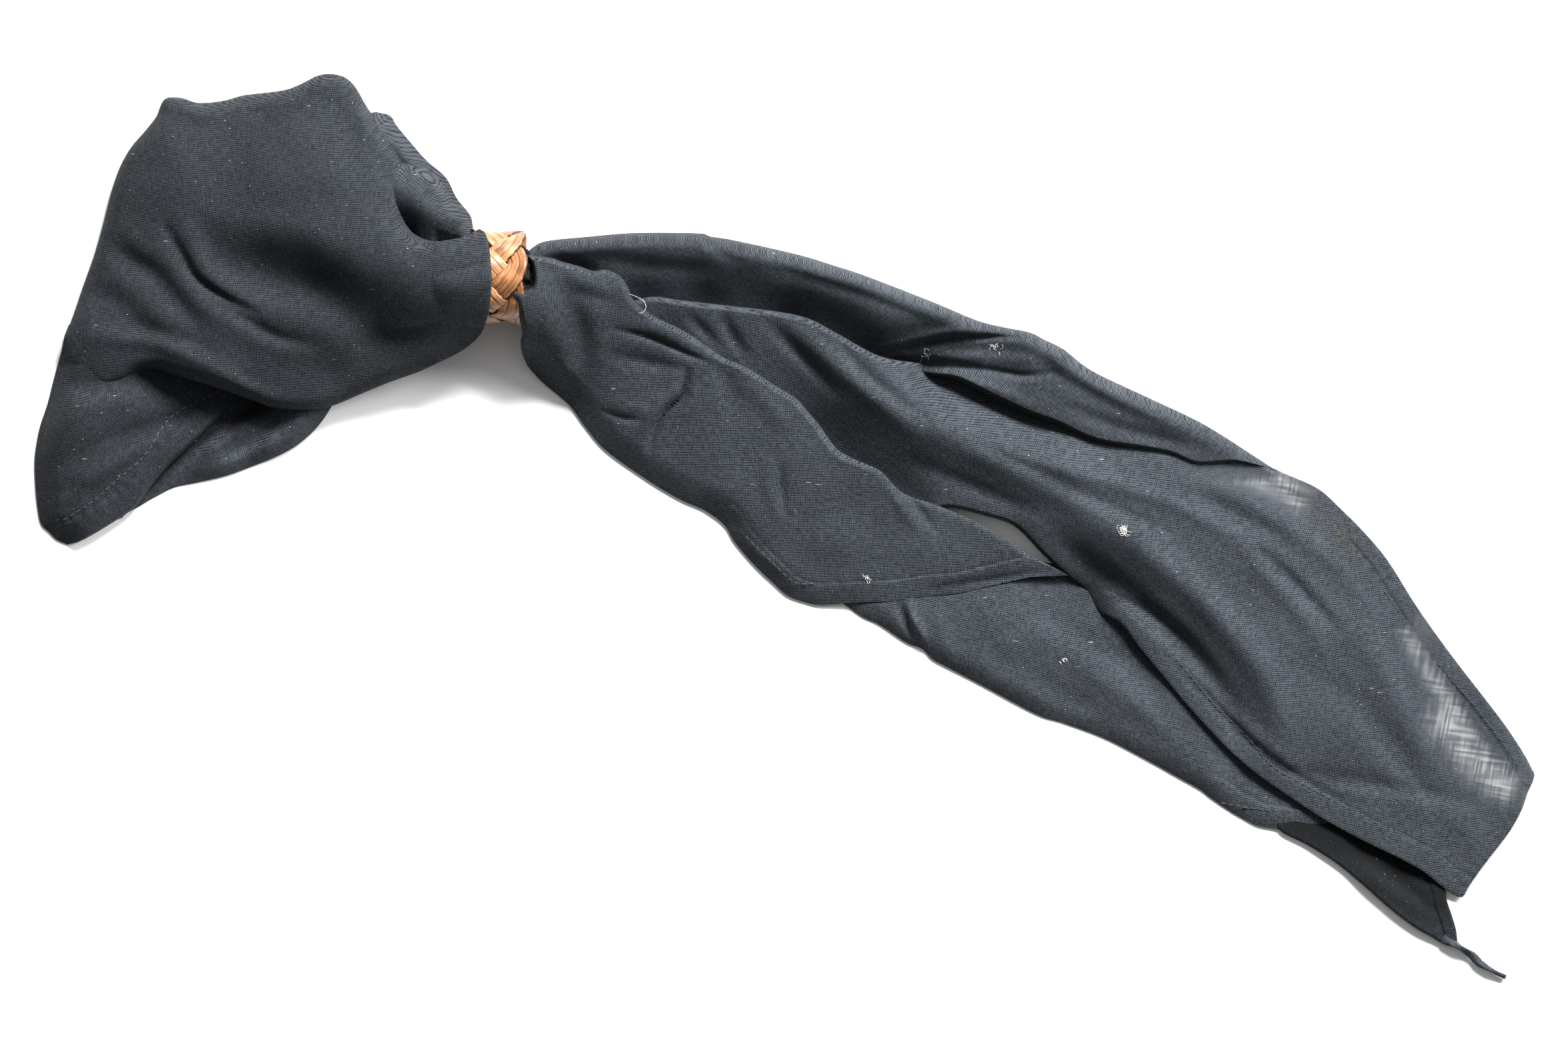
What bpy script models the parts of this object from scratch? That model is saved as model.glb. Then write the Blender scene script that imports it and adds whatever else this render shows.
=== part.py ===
"""A folded cloth neckerchief held by a plaited leather woggle, lying flat.

Metres, +Z up, +X from the loop to the tails. Every fold of the cloth is a solid between two edge
lines. The lines are read outwards from the woggle, so the folds always meet it with the same gaps.
"""

import math

import bmesh
import bpy
import numpy as np

MM = 0.001

# Woggle: one flat lace plaited as a Turk's head round the X axis.
WOGGLE_DIAMETER = 39 * MM
WOGGLE_LENGTH = 24.5 * MM
LACE_WIDTH = 9.5 * MM
LACE_THICKNESS = 2.0 * MM
LACE_CROWN = 0.6 * MM
PLAIT_LAYERS = 2.5
LEADS = 3
BIGHTS = 7

# Neckerchief as folded.
LOOP_REACH = 170 * MM
LOOP_SPREAD = 196 * MM
TAIL_REACH = 418.5 * MM
TAIL_SPREAD = 311 * MM
FLAP_COVER = 9.5 * MM
FLAP_THICKNESS = 1.5 * MM

# Fits.
SLIDE_TRAVEL = 10 * MM
NECK_CLEARANCE = 0.6 * MM
FLAP_CLEARANCE = 1.0 * MM
END_CLEARANCE = 0.8 * MM
FOLD_GAP = 0.8 * MM
FACE_GAP = 0.3 * MM
FLOOR_CLEARANCE = 0.5 * MM

WOGGLE_RADIUS = WOGGLE_DIAMETER / 2
BORE_RADIUS = WOGGLE_RADIUS - PLAIT_LAYERS * LACE_THICKNESS
WOGGLE_AXIS_Z = WOGGLE_RADIUS + FLOOR_CLEARANCE
LOOP_FACE_X = -(WOGGLE_LENGTH / 2 + SLIDE_TRAVEL + END_CLEARANCE)
TAIL_FACE_X = WOGGLE_LENGTH / 2 + END_CLEARANCE
FLAP_RADIUS = WOGGLE_RADIUS + FLAP_CLEARANCE

# Edge lines as fractions of reach and spread: (distance from the woggle, offset from its axis).
LOOP_OUTLINE = ((0, 0.08), (0.05, 0.087), (0.09, 0.16), (0.105, 0.26), (0.165, 0.345),
                (0.22, 0.415), (0.28, 0.434), (0.41, 0.40), (0.54, 0.378), (0.69, 0.37),
                (0.735, 0.314), (0.79, 0.237), (0.83, 0.125), (0.88, -0.018), (0.925, -0.125))
LOOP_BACK = ((0, 0.22), (0.04, 0.25), (0.075, 0.283), (0.11, 0.324), (0.15, 0.35), (0.165, 0.352))
CROWN_FOLD = ((0, -0.175), (0.08, -0.205), (0.15, -0.227), (0.27, -0.27), (0.33, -0.278),
              (0.42, -0.271), (0.52, -0.214), (0.58, -0.184), (0.66, -0.163), (0.75, -0.153),
              (0.88, -0.134), (0.925, -0.132), (0.94, -0.17), (0.96, -0.24), (0.985, -0.315),
              (1.0, -0.39))
HEM_LINE = ((0.51, -0.265), (0.62, -0.357), (0.705, -0.431), (0.745, -0.48), (0.81, -0.518),
            (0.865, -0.548), (0.91, -0.564), (0.935, -0.562), (0.96, -0.543), (0.985, -0.52),
            (1.0, -0.395))
HEM_FLAP_OUTLINE = ((0.28, -0.283), (0.315, -0.324), (0.36, -0.355), (0.405, -0.378),
                    (0.46, -0.398), (0.53, -0.418), (0.605, -0.434), (0.655, -0.444),
                    (0.705, -0.464), (0.735, -0.477))

FAR_OUTLINE = ((0, 0.037), (0.012, 0.048), (0.055, 0.055), (0.096, 0.06), (0.175, 0.059),
               (0.204, 0.051), (0.266, 0.032), (0.337, 0.002), (0.402, -0.032), (0.445, -0.056),
               (0.498, -0.072), (0.53, -0.095), (0.56, -0.124), (0.615, -0.159), (0.67, -0.195),
               (0.721, -0.238), (0.753, -0.262), (0.784, -0.281), (0.806, -0.307),
               (0.83, -0.339), (0.854, -0.378), (0.882, -0.439), (0.914, -0.5), (0.947, -0.556),
               (0.97, -0.597), (0.989, -0.635), (1.0, -0.664))
ROLL_FOLD = ((0, 0.029), (0.034, 0.0225), (0.063, 0.011), (0.082, 0.011), (0.096, -0.002),
             (0.108, -0.021), (0.118, -0.026), (0.204, -0.037), (0.247, -0.045),
             (0.278, -0.054), (0.304, -0.072), (0.34, -0.099), (0.371, -0.122), (0.402, -0.13),
             (0.423, -0.135), (0.465, -0.164), (0.498, -0.183), (0.562, -0.219),
             (0.605, -0.229), (0.662, -0.25), (0.701, -0.248), (0.727, -0.252), (0.743, -0.263))
NEAR_FOLD = ((0.1, -0.011), (0.116, -0.042), (0.139, -0.059), (0.161, -0.074), (0.192, -0.103),
             (0.216, -0.117), (0.246, -0.143), (0.266, -0.161), (0.287, -0.195),
             (0.309, -0.232), (0.323, -0.242), (0.347, -0.256), (0.366, -0.282),
             (0.402, -0.305), (0.445, -0.331), (0.479, -0.36), (0.519, -0.385), (0.536, -0.397))
NEAR_OUTLINE = ((0, -0.12), (0.015, -0.141), (0.04, -0.17), (0.055, -0.199), (0.076, -0.23),
                (0.118, -0.27), (0.15, -0.296), (0.175, -0.311), (0.194, -0.33),
                (0.204, -0.352), (0.223, -0.382), (0.243, -0.408), (0.256, -0.426),
                (0.288, -0.436), (0.362, -0.431), (0.426, -0.421), (0.469, -0.408),
                (0.5, -0.399), (0.536, -0.4))
SEE_THROUGH = ((0.366, 0.0), (0.402, 0.003), (0.445, 0.016), (0.476, 0.029), (0.49, 0.028),
               (0.519, 0.003), (0.536, 0.0))
PANEL_HEM = ((0.52, -0.385), (0.562, -0.417), (0.567, -0.445), (0.587, -0.463),
             (0.604, -0.49), (0.658, -0.577), (0.691, -0.625), (0.755, -0.693),
             (0.792, -0.725), (0.83, -0.753), (0.861, -0.773), (0.908, -0.815),
             (0.928, -0.829), (0.94, -0.8), (0.973, -0.743), (0.989, -0.712), (1.0, -0.666))
UNDER_OUTLINE = ((0.315, -0.438), (0.331, -0.453), (0.348, -0.464), (0.375, -0.487),
                 (0.39, -0.495), (0.4, -0.51), (0.457, -0.55), (0.505, -0.584),
                 (0.531, -0.595), (0.609, -0.641), (0.677, -0.695), (0.71, -0.723),
                 (0.744, -0.737), (0.772, -0.757), (0.826, -0.808), (0.88, -0.868),
                 (0.923, -0.899), (0.94, -0.909), (0.959, -0.925), (0.97, -0.94), (0.975, -0.943))
LOWEST_EDGE = ((0.908, -0.82), (0.911, -0.833), (0.916, -0.85), (0.922, -0.871),
               (0.923, -0.886), (0.936, -0.9), (0.945, -0.906), (0.96, -0.92), (0.975, -0.933))

STATION_STEP = 0.0125
NEAR_TAIL_END = 0.525
WALL_SHARE = 0.35
CROWN_STEPS = 6


def clear_scene():
    for obj in list(bpy.data.objects):
        bpy.data.objects.remove(obj, do_unlink=True)


def make_material(name, colour, roughness):
    material = bpy.data.materials.new(name)
    material.use_nodes = True
    shader = material.node_tree.nodes["Principled BSDF"]
    shader.inputs["Base Color"].default_value = (*colour, 1)
    shader.inputs["Roughness"].default_value = roughness
    shader.inputs["Metallic"].default_value = 0
    return material


def solid_from(name, points, faces, material, location=(0, 0, 0)):
    """One closed object from points and faces, its faces turned outwards."""
    mesh = bpy.data.meshes.new(name)
    mesh.from_pydata([tuple(p) for p in points], [], faces)
    shell = bmesh.new()
    shell.from_mesh(mesh)
    bmesh.ops.recalc_face_normals(shell, faces=shell.faces)
    shell.to_mesh(mesh)
    shell.free()
    obj = bpy.data.objects.new(name, mesh)
    obj.location = location
    obj.data.materials.append(material)
    bpy.context.collection.objects.link(obj)
    return obj


def read(line, at):
    """The line's offset at these distances, its corners eased over a hundredth of the reach."""
    reach, offset = np.array(line).T
    near = [np.interp(at + step, reach, offset) for step in (-0.005, 0, 0.005)]
    return sum(near) / 3


def tube_faces(rings, around):
    """Quads round a row of closed rings, with an end face on the first ring and the last."""
    faces = []
    for i in range(rings - 1):
        for j in range(around):
            k = (j + 1) % around
            faces.append((i * around + j, i * around + k, (i + 1) * around + k, (i + 1) * around + j))
    faces.append(tuple(range(around)))
    faces.append(tuple(range((rings - 1) * around, rings * around)))
    return faces


def stations(start, end):
    """Distances shared by all the folds of one side, so that their common edges match."""
    shared = np.arange(0, 1, STATION_STEP)
    inside = shared[(shared > start + STATION_STEP / 4) & (shared < end - STATION_STEP / 4)]
    return np.concatenate([[start], inside, [end]])


def fold(name, side, span, low, high, heights, material):
    """A fold of cloth with a flat underside and a crowned top, between two edge lines.

    low and high give the offsets of its edges at each distance, and heights its height in mm there.
    """
    face_x, reach, spread = side
    at = stations(*span)
    first, last = low(at) * spread, high(at) * spread
    tall = np.interp(at, *np.array(heights).T) * MM
    turn = np.linspace(0, math.pi, CROWN_STEPS + 1)
    across = (1 - np.cos(turn)) / 2
    lift = WALL_SHARE + (1 - WALL_SHARE) * np.sin(turn) ** 0.7
    rings = []
    for distance, a, b, h in zip(at, first, last, tall):
        x = face_x + math.copysign(distance * reach, face_x)
        rings.append((x, a, 0))
        rings += [(x, a + (b - a) * s, h * up) for s, up in zip(across, lift)]
        rings.append((x, b, 0))
    return solid_from(name, rings, tube_faces(len(at), CROWN_STEPS + 3), material)


def hem_flap_top(t):
    """The hem flap's upper edge: under the crown, and past the hem under the hem line as well."""
    crown = read(CROWN_FOLD, t)
    return np.where(t < 0.51, crown, np.minimum(read(HEM_LINE, t), crown))


def make_loop(cloth):
    """The folds on the loop's side of the woggle."""
    side = (LOOP_FACE_X, LOOP_REACH, LOOP_SPREAD)
    gap = FOLD_GAP / LOOP_SPREAD
    fold("loop_crown_fold", side, (0, 0.92), lambda t: read(CROWN_FOLD, t),
         lambda t: read(LOOP_OUTLINE, t), ((0, 38), (0.15, 30), (0.5, 20), (0.8, 14), (0.92, 8)),
         cloth)
    fold("loop_back_fold", side, (0, 0.155), lambda t: read(LOOP_OUTLINE, t) + gap,
         lambda t: read(LOOP_BACK, t), ((0, 22), (0.155, 10)), cloth)
    fold("loop_lower_lobe", side, (0.52, 0.995), lambda t: read(HEM_LINE, t),
         lambda t: read(CROWN_FOLD, t) - gap, ((0.52, 9), (0.75, 14), (0.995, 9)), cloth)
    fold("loop_hem_flap", side, (0.29, 0.72), lambda t: read(HEM_FLAP_OUTLINE, t),
         lambda t: hem_flap_top(t) - gap, ((0.29, 10), (0.5, 11), (0.72, 7)), cloth)


def panel_low(t):
    """The main panel's lower edge: above the near tail and the see-through gap, then its own hem."""
    beside_tail = read(NEAR_FOLD, t) + read(SEE_THROUGH, t) + FOLD_GAP / TAIL_SPREAD
    return np.where(t <= NEAR_TAIL_END, beside_tail, read(PANEL_HEM, t))


def make_tails(cloth):
    """The folds on the tails' side of the woggle."""
    side = (TAIL_FACE_X, TAIL_REACH, TAIL_SPREAD)
    gap = FOLD_GAP / TAIL_SPREAD
    fold("far_tail_roll", side, (0, 0.74), lambda t: read(ROLL_FOLD, t) + gap,
         lambda t: read(FAR_OUTLINE, t), ((0, 26), (0.1, 24), (0.3, 18), (0.74, 8)), cloth)
    fold("far_tail_panel", side, (0.12, 0.995), panel_low,
         lambda t: np.where(t < 0.742, read(ROLL_FOLD, t), read(FAR_OUTLINE, t)),
         ((0.12, 18), (0.3, 17), (0.6, 13), (0.8, 8), (0.995, 5)), cloth)
    fold("near_tail", side, (0, NEAR_TAIL_END), lambda t: read(NEAR_OUTLINE, t),
         lambda t: np.where(t < 0.108, read(ROLL_FOLD, t), read(NEAR_FOLD, t)),
         ((0, 38), (0.08, 30), (0.25, 18), (0.525, 8)), cloth)
    fold("under_tail", side, (0.325, 0.742), lambda t: read(UNDER_OUTLINE, t),
         lambda t: np.where(t <= NEAR_TAIL_END, read(NEAR_OUTLINE, t), read(PANEL_HEM, t)) - gap,
         ((0.325, 5), (0.5, 9), (0.742, 6)), cloth)
    fold("lowest_tail", side, (0.745, 0.92), lambda t: read(UNDER_OUTLINE, t),
         lambda t: np.where(t < 0.908, read(PANEL_HEM, t), read(LOWEST_EDGE, t)) - gap,
         ((0.745, 5), (0.92, 4)), cloth)
    fold("hem_tip", side, (0.9215, 0.972), lambda t: read(UNDER_OUTLINE, t),
         lambda t: read(LOWEST_EDGE, t), ((0.9215, 3.5), (0.972, 3)), cloth)


def make_neck_gather(cloth):
    """The bundled cloth inside the woggle, from the loop's folds to the tails' folds."""
    bpy.ops.mesh.primitive_cylinder_add(
        vertices=48,
        radius=BORE_RADIUS - NECK_CLEARANCE,
        depth=TAIL_FACE_X - LOOP_FACE_X - 2 * FACE_GAP,
        location=((TAIL_FACE_X + LOOP_FACE_X) / 2, 0, WOGGLE_AXIS_Z),
        rotation=(0, math.pi / 2, 0),
    )
    neck = bpy.context.object
    neck.name = "neck_gather"
    neck.data.materials.append(cloth)


def make_loop_flap(cloth):
    """The fold of the loop that rolls over the woggle's end, an arch with room for the slide."""
    turn = np.radians(np.linspace(-12, 192, 25))
    inner = [(math.cos(a) * FLAP_RADIUS, math.sin(a) * FLAP_RADIUS) for a in turn]
    reach = FLAP_RADIUS + FLAP_THICKNESS
    outer = [(math.cos(a) * reach, math.sin(a) * reach) for a in turn[::-1]]
    profile = inner + outer
    ends = (LOOP_FACE_X + FACE_GAP, FLAP_COVER - WOGGLE_LENGTH / 2)
    points = [(x, y, WOGGLE_AXIS_Z + z) for x in ends for y, z in profile]
    solid_from("loop_flap", points, tube_faces(2, len(profile)), cloth)


def lace_passes(theta):
    """Where each pass of the lace crosses this angle: its phase, centre x and slant."""
    end = (WOGGLE_LENGTH - LACE_WIDTH) / 2
    middle = WOGGLE_RADIUS - LACE_THICKNESS
    for lead in range(LEADS):
        phase = (theta + 2 * math.pi * lead) * BIGHTS / LEADS
        slope = -end * BIGHTS / LEADS * math.sin(phase) / middle
        yield phase, end * math.cos(phase), math.hypot(1, slope)


def lace_height(theta, x):
    """The woggle's outer radius here: the highest pass of the lace that covers the point."""
    floor = WOGGLE_RADIUS - LACE_CROWN - 2 * LACE_THICKNESS
    heights = [floor]
    for phase, centre, slant in lace_passes(theta):
        offset = 2 * (x - centre) / (LACE_WIDTH * slant)
        if abs(offset) < 1:
            weave = LACE_THICKNESS * (math.sin(2 * phase) - 1) / 2
            crown = LACE_CROWN * (math.sqrt(1 - offset ** 2) - 1)
            heights.append(WOGGLE_RADIUS + weave + crown)
    return max(heights)


def make_woggle(leather):
    """The plaited ring: its passes over and under in relief, its ends scalloped by the bights."""
    steps, across = 24 * BIGHTS, 13
    rings = []
    for i in range(steps):
        theta = 2 * math.pi * i / steps
        passes = list(lace_passes(theta))
        right = max(c + LACE_WIDTH / 2 * s for _, c, s in passes)
        left = min(c - LACE_WIDTH / 2 * s for _, c, s in passes)
        right = min(right, WOGGLE_LENGTH / 2)
        left = max(left, -WOGGLE_LENGTH / 2)
        profile = [(left, BORE_RADIUS)]
        for j in range(across):
            x = left + (right - left) * j / (across - 1)
            profile.append((x, lace_height(theta, x)))
        profile.append((right, BORE_RADIUS))
        rings += [(x, r * math.cos(theta), r * math.sin(theta)) for x, r in profile]
    around = across + 2
    faces = []
    for i in range(steps):
        for j in range(around):
            k, n = (j + 1) % around, (i + 1) % steps
            faces.append((i * around + j, i * around + k, n * around + k, n * around + j))
    solid_from("woggle_plait", rings, faces, leather, (0, 0, WOGGLE_AXIS_Z))


def centre_on_origin():
    """Moves everything together, so that the origin is under the middle of the whole."""
    bpy.context.view_layer.update()
    parts = [obj for obj in bpy.data.objects if obj.type == "MESH"]
    corners = np.array([obj.matrix_world @ v.co for obj in parts for v in obj.data.vertices])
    middle = (corners.min(0) + corners.max(0)) / 2
    for obj in parts:
        obj.location.x -= middle[0]
        obj.location.y -= middle[1]


def main():
    clear_scene()
    cloth = make_material("black_cloth", (0.024, 0.026, 0.03), 0.85)
    leather = make_material("tan_leather", (0.62, 0.33, 0.13), 0.5)
    make_loop(cloth)
    make_tails(cloth)
    make_neck_gather(cloth)
    make_loop_flap(cloth)
    make_woggle(leather)
    centre_on_origin()


main()
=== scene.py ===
"""A black cloth neckerchief gathered through a plaited tan leather woggle, lying flat."""

import math

import bmesh
import bpy
import numpy as np
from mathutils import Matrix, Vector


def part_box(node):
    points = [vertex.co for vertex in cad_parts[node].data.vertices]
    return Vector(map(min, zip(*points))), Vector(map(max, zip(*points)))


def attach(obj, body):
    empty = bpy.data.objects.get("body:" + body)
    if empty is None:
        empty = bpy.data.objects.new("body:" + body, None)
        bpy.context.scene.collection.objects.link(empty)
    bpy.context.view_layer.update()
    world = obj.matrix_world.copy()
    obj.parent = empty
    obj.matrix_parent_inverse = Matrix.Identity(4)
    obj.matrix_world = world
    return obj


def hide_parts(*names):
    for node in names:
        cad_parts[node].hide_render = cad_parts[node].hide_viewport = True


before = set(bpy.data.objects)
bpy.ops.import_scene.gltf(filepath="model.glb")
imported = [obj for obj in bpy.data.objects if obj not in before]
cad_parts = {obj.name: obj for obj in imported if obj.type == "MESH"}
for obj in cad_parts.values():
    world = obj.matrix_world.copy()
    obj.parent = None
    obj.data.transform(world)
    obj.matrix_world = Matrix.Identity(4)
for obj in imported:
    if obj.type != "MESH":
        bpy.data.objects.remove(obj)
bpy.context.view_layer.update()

# ---------------------------------------------------------------- the cloth
# One light black cotton cloth in plain weave, worn soft: it has lint on it, faint dirt, and is
# sheer where a single layer lies alone. Every fold below is cut from it. Threads run on the
# cloth's own coordinates, so the weave turns with each fold.

MM = 0.001
CIRCLE = 2 * math.pi
THREAD_PITCH = 0.00074
CLOTH_BLACK = (0.0020, 0.0024, 0.0030)
CLOTH_WORN = (0.046, 0.0535, 0.0635)
LINT_WHITE = (0.34, 0.34, 0.33)
DUST_BROWN = (0.075, 0.056, 0.036)


def add_node(tree, kind, given, output=0, **settings):
    """One shader node's output: given holds a number, a colour or a socket for each input."""
    node = tree.nodes.new("ShaderNode" + kind)
    for name, value in settings.items():
        setattr(node, name, value)
    for place, value in given.items():
        if isinstance(value, bpy.types.NodeSocket):
            tree.links.new(value, node.inputs[place])
        else:
            node.inputs[place].default_value = value
    return node.outputs[output]


def maths(tree, operation, *values):
    """One Math node: each value is a number or a socket."""
    return add_node(tree, "Math", dict(enumerate(values)), operation=operation)


def noise(tree, where, scale, detail=2.0, roughness=0.5):
    """A Noise Texture on these coordinates, its value from 0 to 1."""
    given = {"Vector": where, "Scale": scale, "Detail": detail, "Roughness": roughness}
    return add_node(tree, "TexNoise", given, "Fac")


def drawn_noise(tree, where, stretch, detail=1.0, turn=0.0):
    """A Noise Texture drawn out by a different scale along each axis, as spun thread is uneven."""
    given = {"Vector": where, "Rotation": (0, 0, turn), "Scale": stretch}
    return noise(tree, add_node(tree, "Mapping", given), 1.0, detail)


def between(tree, value, low, high, to_low=0.0, to_high=1.0):
    """The value's place between low and high, held to that range and smoothed."""
    given = dict(enumerate((value, low, high, to_low, to_high)))
    return add_node(tree, "MapRange", given, interpolation_type="SMOOTHSTEP")


def tinted(tree, share, first, second):
    """The first colour turning into the second as share goes from 0 to 1."""
    first, second = ((*c, 1) if isinstance(c, tuple) else c for c in (first, second))
    return add_node(tree, "Mix", {0: share, 6: first, 7: second}, 2, data_type="RGBA")


def bumped(tree, height, strength, distance):
    """The normals of a surface with this height on it."""
    given = {"Strength": strength, "Distance": distance, "Height": height}
    return add_node(tree, "Bump", given, "Normal")


def painted(tree, name):
    """The red, green and blue masks of a colour painted on the mesh's points."""
    colour = add_node(tree, "Attribute", {}, "Color", attribute_name=name)
    return add_node(tree, "SeparateColor", {0: colour}).node.outputs


def new_group(name, vector, outputs, **numbers):
    """An empty shader group: one vector input, these number inputs, and number outputs."""
    group = bpy.data.node_groups.new(name, "ShaderNodeTree")
    group.interface.new_socket(vector, in_out="INPUT", socket_type="NodeSocketVector")
    for socket, value in numbers.items():
        made = group.interface.new_socket(socket, in_out="INPUT", socket_type="NodeSocketFloat")
        made.default_value = value
    for socket in outputs:
        group.interface.new_socket(socket, in_out="OUTPUT", socket_type="NodeSocketFloat")
    start, end = group.nodes.new("NodeGroupInput"), group.nodes.new("NodeGroupOutput")
    return group, start.outputs, end.inputs


def plain_weave_group():
    """Warp over weft over warp: the height is |sin x|^0.5 times |sin y|, one bump to a crossing.

    Light comes through at the corners between threads, where both sines are small.
    """
    group, given, gives = new_group(
        "plain_weave", "Threads", ("Height", "Over", "Gap"), Pitch=THREAD_PITCH
    )
    axes = add_node(group, "SeparateXYZ", {0: given["Threads"]}).node.outputs[:2]
    turns = [maths(group, "DIVIDE", axis, given["Pitch"]) for axis in axes]
    waves = [maths(group, "SINE", maths(group, "MULTIPLY", turn, math.pi)) for turn in turns]
    warp, weft = (maths(group, "ABSOLUTE", wave) for wave in waves)
    height = maths(group, "MULTIPLY", maths(group, "SQRT", warp), weft)
    over = maths(group, "MULTIPLY_ADD", maths(group, "MULTIPLY", *waves), 0.5, 0.5)
    group.links.new(height, gives["Height"])
    group.links.new(over, gives["Over"])
    group.links.new(maths(group, "SUBTRACT", 1.0, height), gives["Gap"])
    return group


def fibre_lint_group():
    """Lint: bright specks where a fine noise peaks, and short hairs where a stretched one does."""
    group, given, gives = new_group("fibre_lint", "Place", ("Specks",))
    specks = between(group, noise(group, given["Place"], 1500, 0.0), 0.845, 0.92)
    hairs = drawn_noise(group, given["Place"], (240, 2600, 500), 0.0, 0.7)
    hairs = between(group, hairs, 0.875, 0.9)
    group.links.new(maths(group, "MAXIMUM", specks, hairs), gives["Specks"])
    return group


plain_weave = plain_weave_group()
fibre_lint = fibre_lint_group()


def new_material(name, **fixed):
    """A material and its nodes, with these fixed values on its shader's own sockets."""
    material = bpy.data.materials.new(name)
    material.use_nodes = True
    shader = material.node_tree.nodes["Principled BSDF"].inputs
    for socket, value in fixed.items():
        shader[socket.replace("_", " ")].default_value = value
    return material, material.node_tree


def finished(material, **links):
    """The material, with these changing values linked to its shader's sockets."""
    shader = material.node_tree.nodes["Principled BSDF"].inputs
    for socket, value in links.items():
        material.node_tree.links.new(value, shader[socket.replace("_", " ")])
    return material


def cloth_material():
    """Threads in bump and gaps, their crowns painted lighter as painted highlight; wear in broad
    soft patches; painted shade from the blue mark; lint and a little dirt.
    """
    material, tree = new_material(
        "black cotton", Sheen_Weight=0.03, Sheen_Roughness=0.45, Specular_IOR_Level=0.12
    )
    where = add_node(tree, "TexCoord", {}, "Object")
    threads = add_node(tree, "UVMap", {}, uv_map="threads")
    weave = add_node(tree, "Group", {"Threads": threads}, node_tree=plain_weave).node.outputs
    lint = add_node(tree, "Group", {"Place": where}, "Specks", node_tree=fibre_lint)
    sheer, dusty, deep = painted(tree, "marks")
    slubs, streaks = (
        maths(tree, "ADD", *(drawn_noise(tree, threads, s) for s in ((a, b, 1), (b, a, 1))))
        for a, b in ((1700, 300), (1300, 60))
    )
    slubs = between(tree, slubs, 0.72, 1.28)
    wear = between(tree, noise(tree, where, 26, 4.0, 0.55), 0.3, 0.7)
    # Painted highlight: the colour rises with the weave's height, lighter on the thread crowns and
    # darker in the gaps as painted shade.
    tone = maths(tree, "ADD", weave["Height"], maths(tree, "MULTIPLY_ADD", wear, 0.14, -0.22))
    tone = maths(tree, "MULTIPLY_ADD", slubs, 0.5, tone)
    # Painted shade: the blue mark darkens the colour in hollows, under folds and over some whole
    # folds.
    tone = maths(tree, "MULTIPLY", tone, maths(tree, "SUBTRACT", 1.0, deep))
    colour = tinted(tree, tone, CLOTH_BLACK, CLOTH_WORN)
    grit = between(tree, noise(tree, where, 900, 1.0), 0.52, 0.66)
    colour = tinted(tree, maths(tree, "MULTIPLY", dusty, grit), colour, DUST_BROWN)
    thin = maths(tree, "MULTIPLY", sheer, between(tree, streaks, 0.75, 1.25, 0.6, 1.0))
    closed = maths(tree, "MULTIPLY_ADD", thin, -0.9, 1.02)
    hole = maths(tree, "GREATER_THAN", weave["Gap"], closed)
    nap = maths(tree, "MULTIPLY_ADD", slubs, 0.5, weave["Height"])
    return finished(
        material,
        Base_Color=tinted(tree, lint, colour, LINT_WHITE),
        Roughness=maths(tree, "MULTIPLY_ADD", weave["Over"], -0.12, 0.92),
        Alpha=maths(tree, "SUBTRACT", 1.0, hole),
        Normal=bumped(tree, nap, 0.8, 0.00022),
    )


black_cotton = cloth_material()


def line_through(points, at):
    """A smooth line through the points, read at these fractions of its length.

    Between two points it is the cubic whose slope at each is half the step between that point's
    neighbours, worked out finely and then spaced by length.
    """
    p = np.array(points, float)
    q = np.vstack([2 * p[0] - p[1], p, 2 * p[-1] - p[-2]])
    a, b, c, d = (q[i : len(q) - 3 + i, None] for i in range(4))
    t = np.linspace(0, 1, 16, endpoint=False)[None, :, None]
    cubic = b + (c - a) * t / 2 + (a - 2.5 * b + 2 * c - d / 2) * t**2
    cubic = cubic + (1.5 * (b - c) + (d - a) / 2) * t**3
    fine = np.vstack([cubic.reshape(-1, p.shape[1]), p[-1:]])
    run = np.concatenate([[0], np.cumsum(np.linalg.norm(np.diff(fine, axis=0), axis=1))])
    return np.stack([np.interp(at * run[-1], run, k) for k in fine.T], axis=-1)


def length_of(line, count=200):
    """The length of the smooth line through these points."""
    course = line_through(line, np.linspace(0, 1, count))
    return np.linalg.norm(np.diff(course, axis=0), axis=1).sum()


def crowded(count, share=0.8):
    """Fractions from 0 to 1 that lie closer towards both ends: t - share sin(2 pi t) / (2 pi)."""
    t = np.linspace(0, 1, count)
    return t - share * np.sin(CIRCLE * t) / CIRCLE


def spread_between(south, north, west, east, u, v):
    """Plan points between four edge lines: both pairs blended, less the blend of the corners."""
    s, n = line_through(south, u)[:, None], line_through(north, u)[:, None]
    w, e = line_through(west, v)[None], line_through(east, v)[None]
    u, v = u[:, None, None], v[None, :, None]
    corners = (1 - v) * ((1 - u) * s[0] + u * s[-1]) + v * ((1 - u) * n[0] + u * n[-1])
    return (1 - v) * s + v * n + ((1 - u) * w + u * e) - corners


def squares_between(xy, places):
    """The square of the distance from each plan point, row by row, to each place."""
    flat = xy.reshape(-1, 2)
    return (flat**2).sum(1)[:, None] + (places**2).sum(1) - 2 * flat @ places.T


def height_through(xy, points, reach):
    """The height over plan points through the (x, y, height) ones: a sum of sqrt(r^2 + reach^2)."""
    known = np.array(points, float)
    spacing = np.linalg.norm(known[:, None, :2] - known[None, :, :2], axis=2)
    level = known[:, 2].mean()
    weights = np.linalg.solve(np.sqrt(spacing**2 + reach**2), known[:, 2] - level)
    square = np.maximum(squares_between(xy, known[:, :2]), 0)
    return level + (np.sqrt(square + reach**2) @ weights).reshape(xy.shape[:-1])


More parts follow.
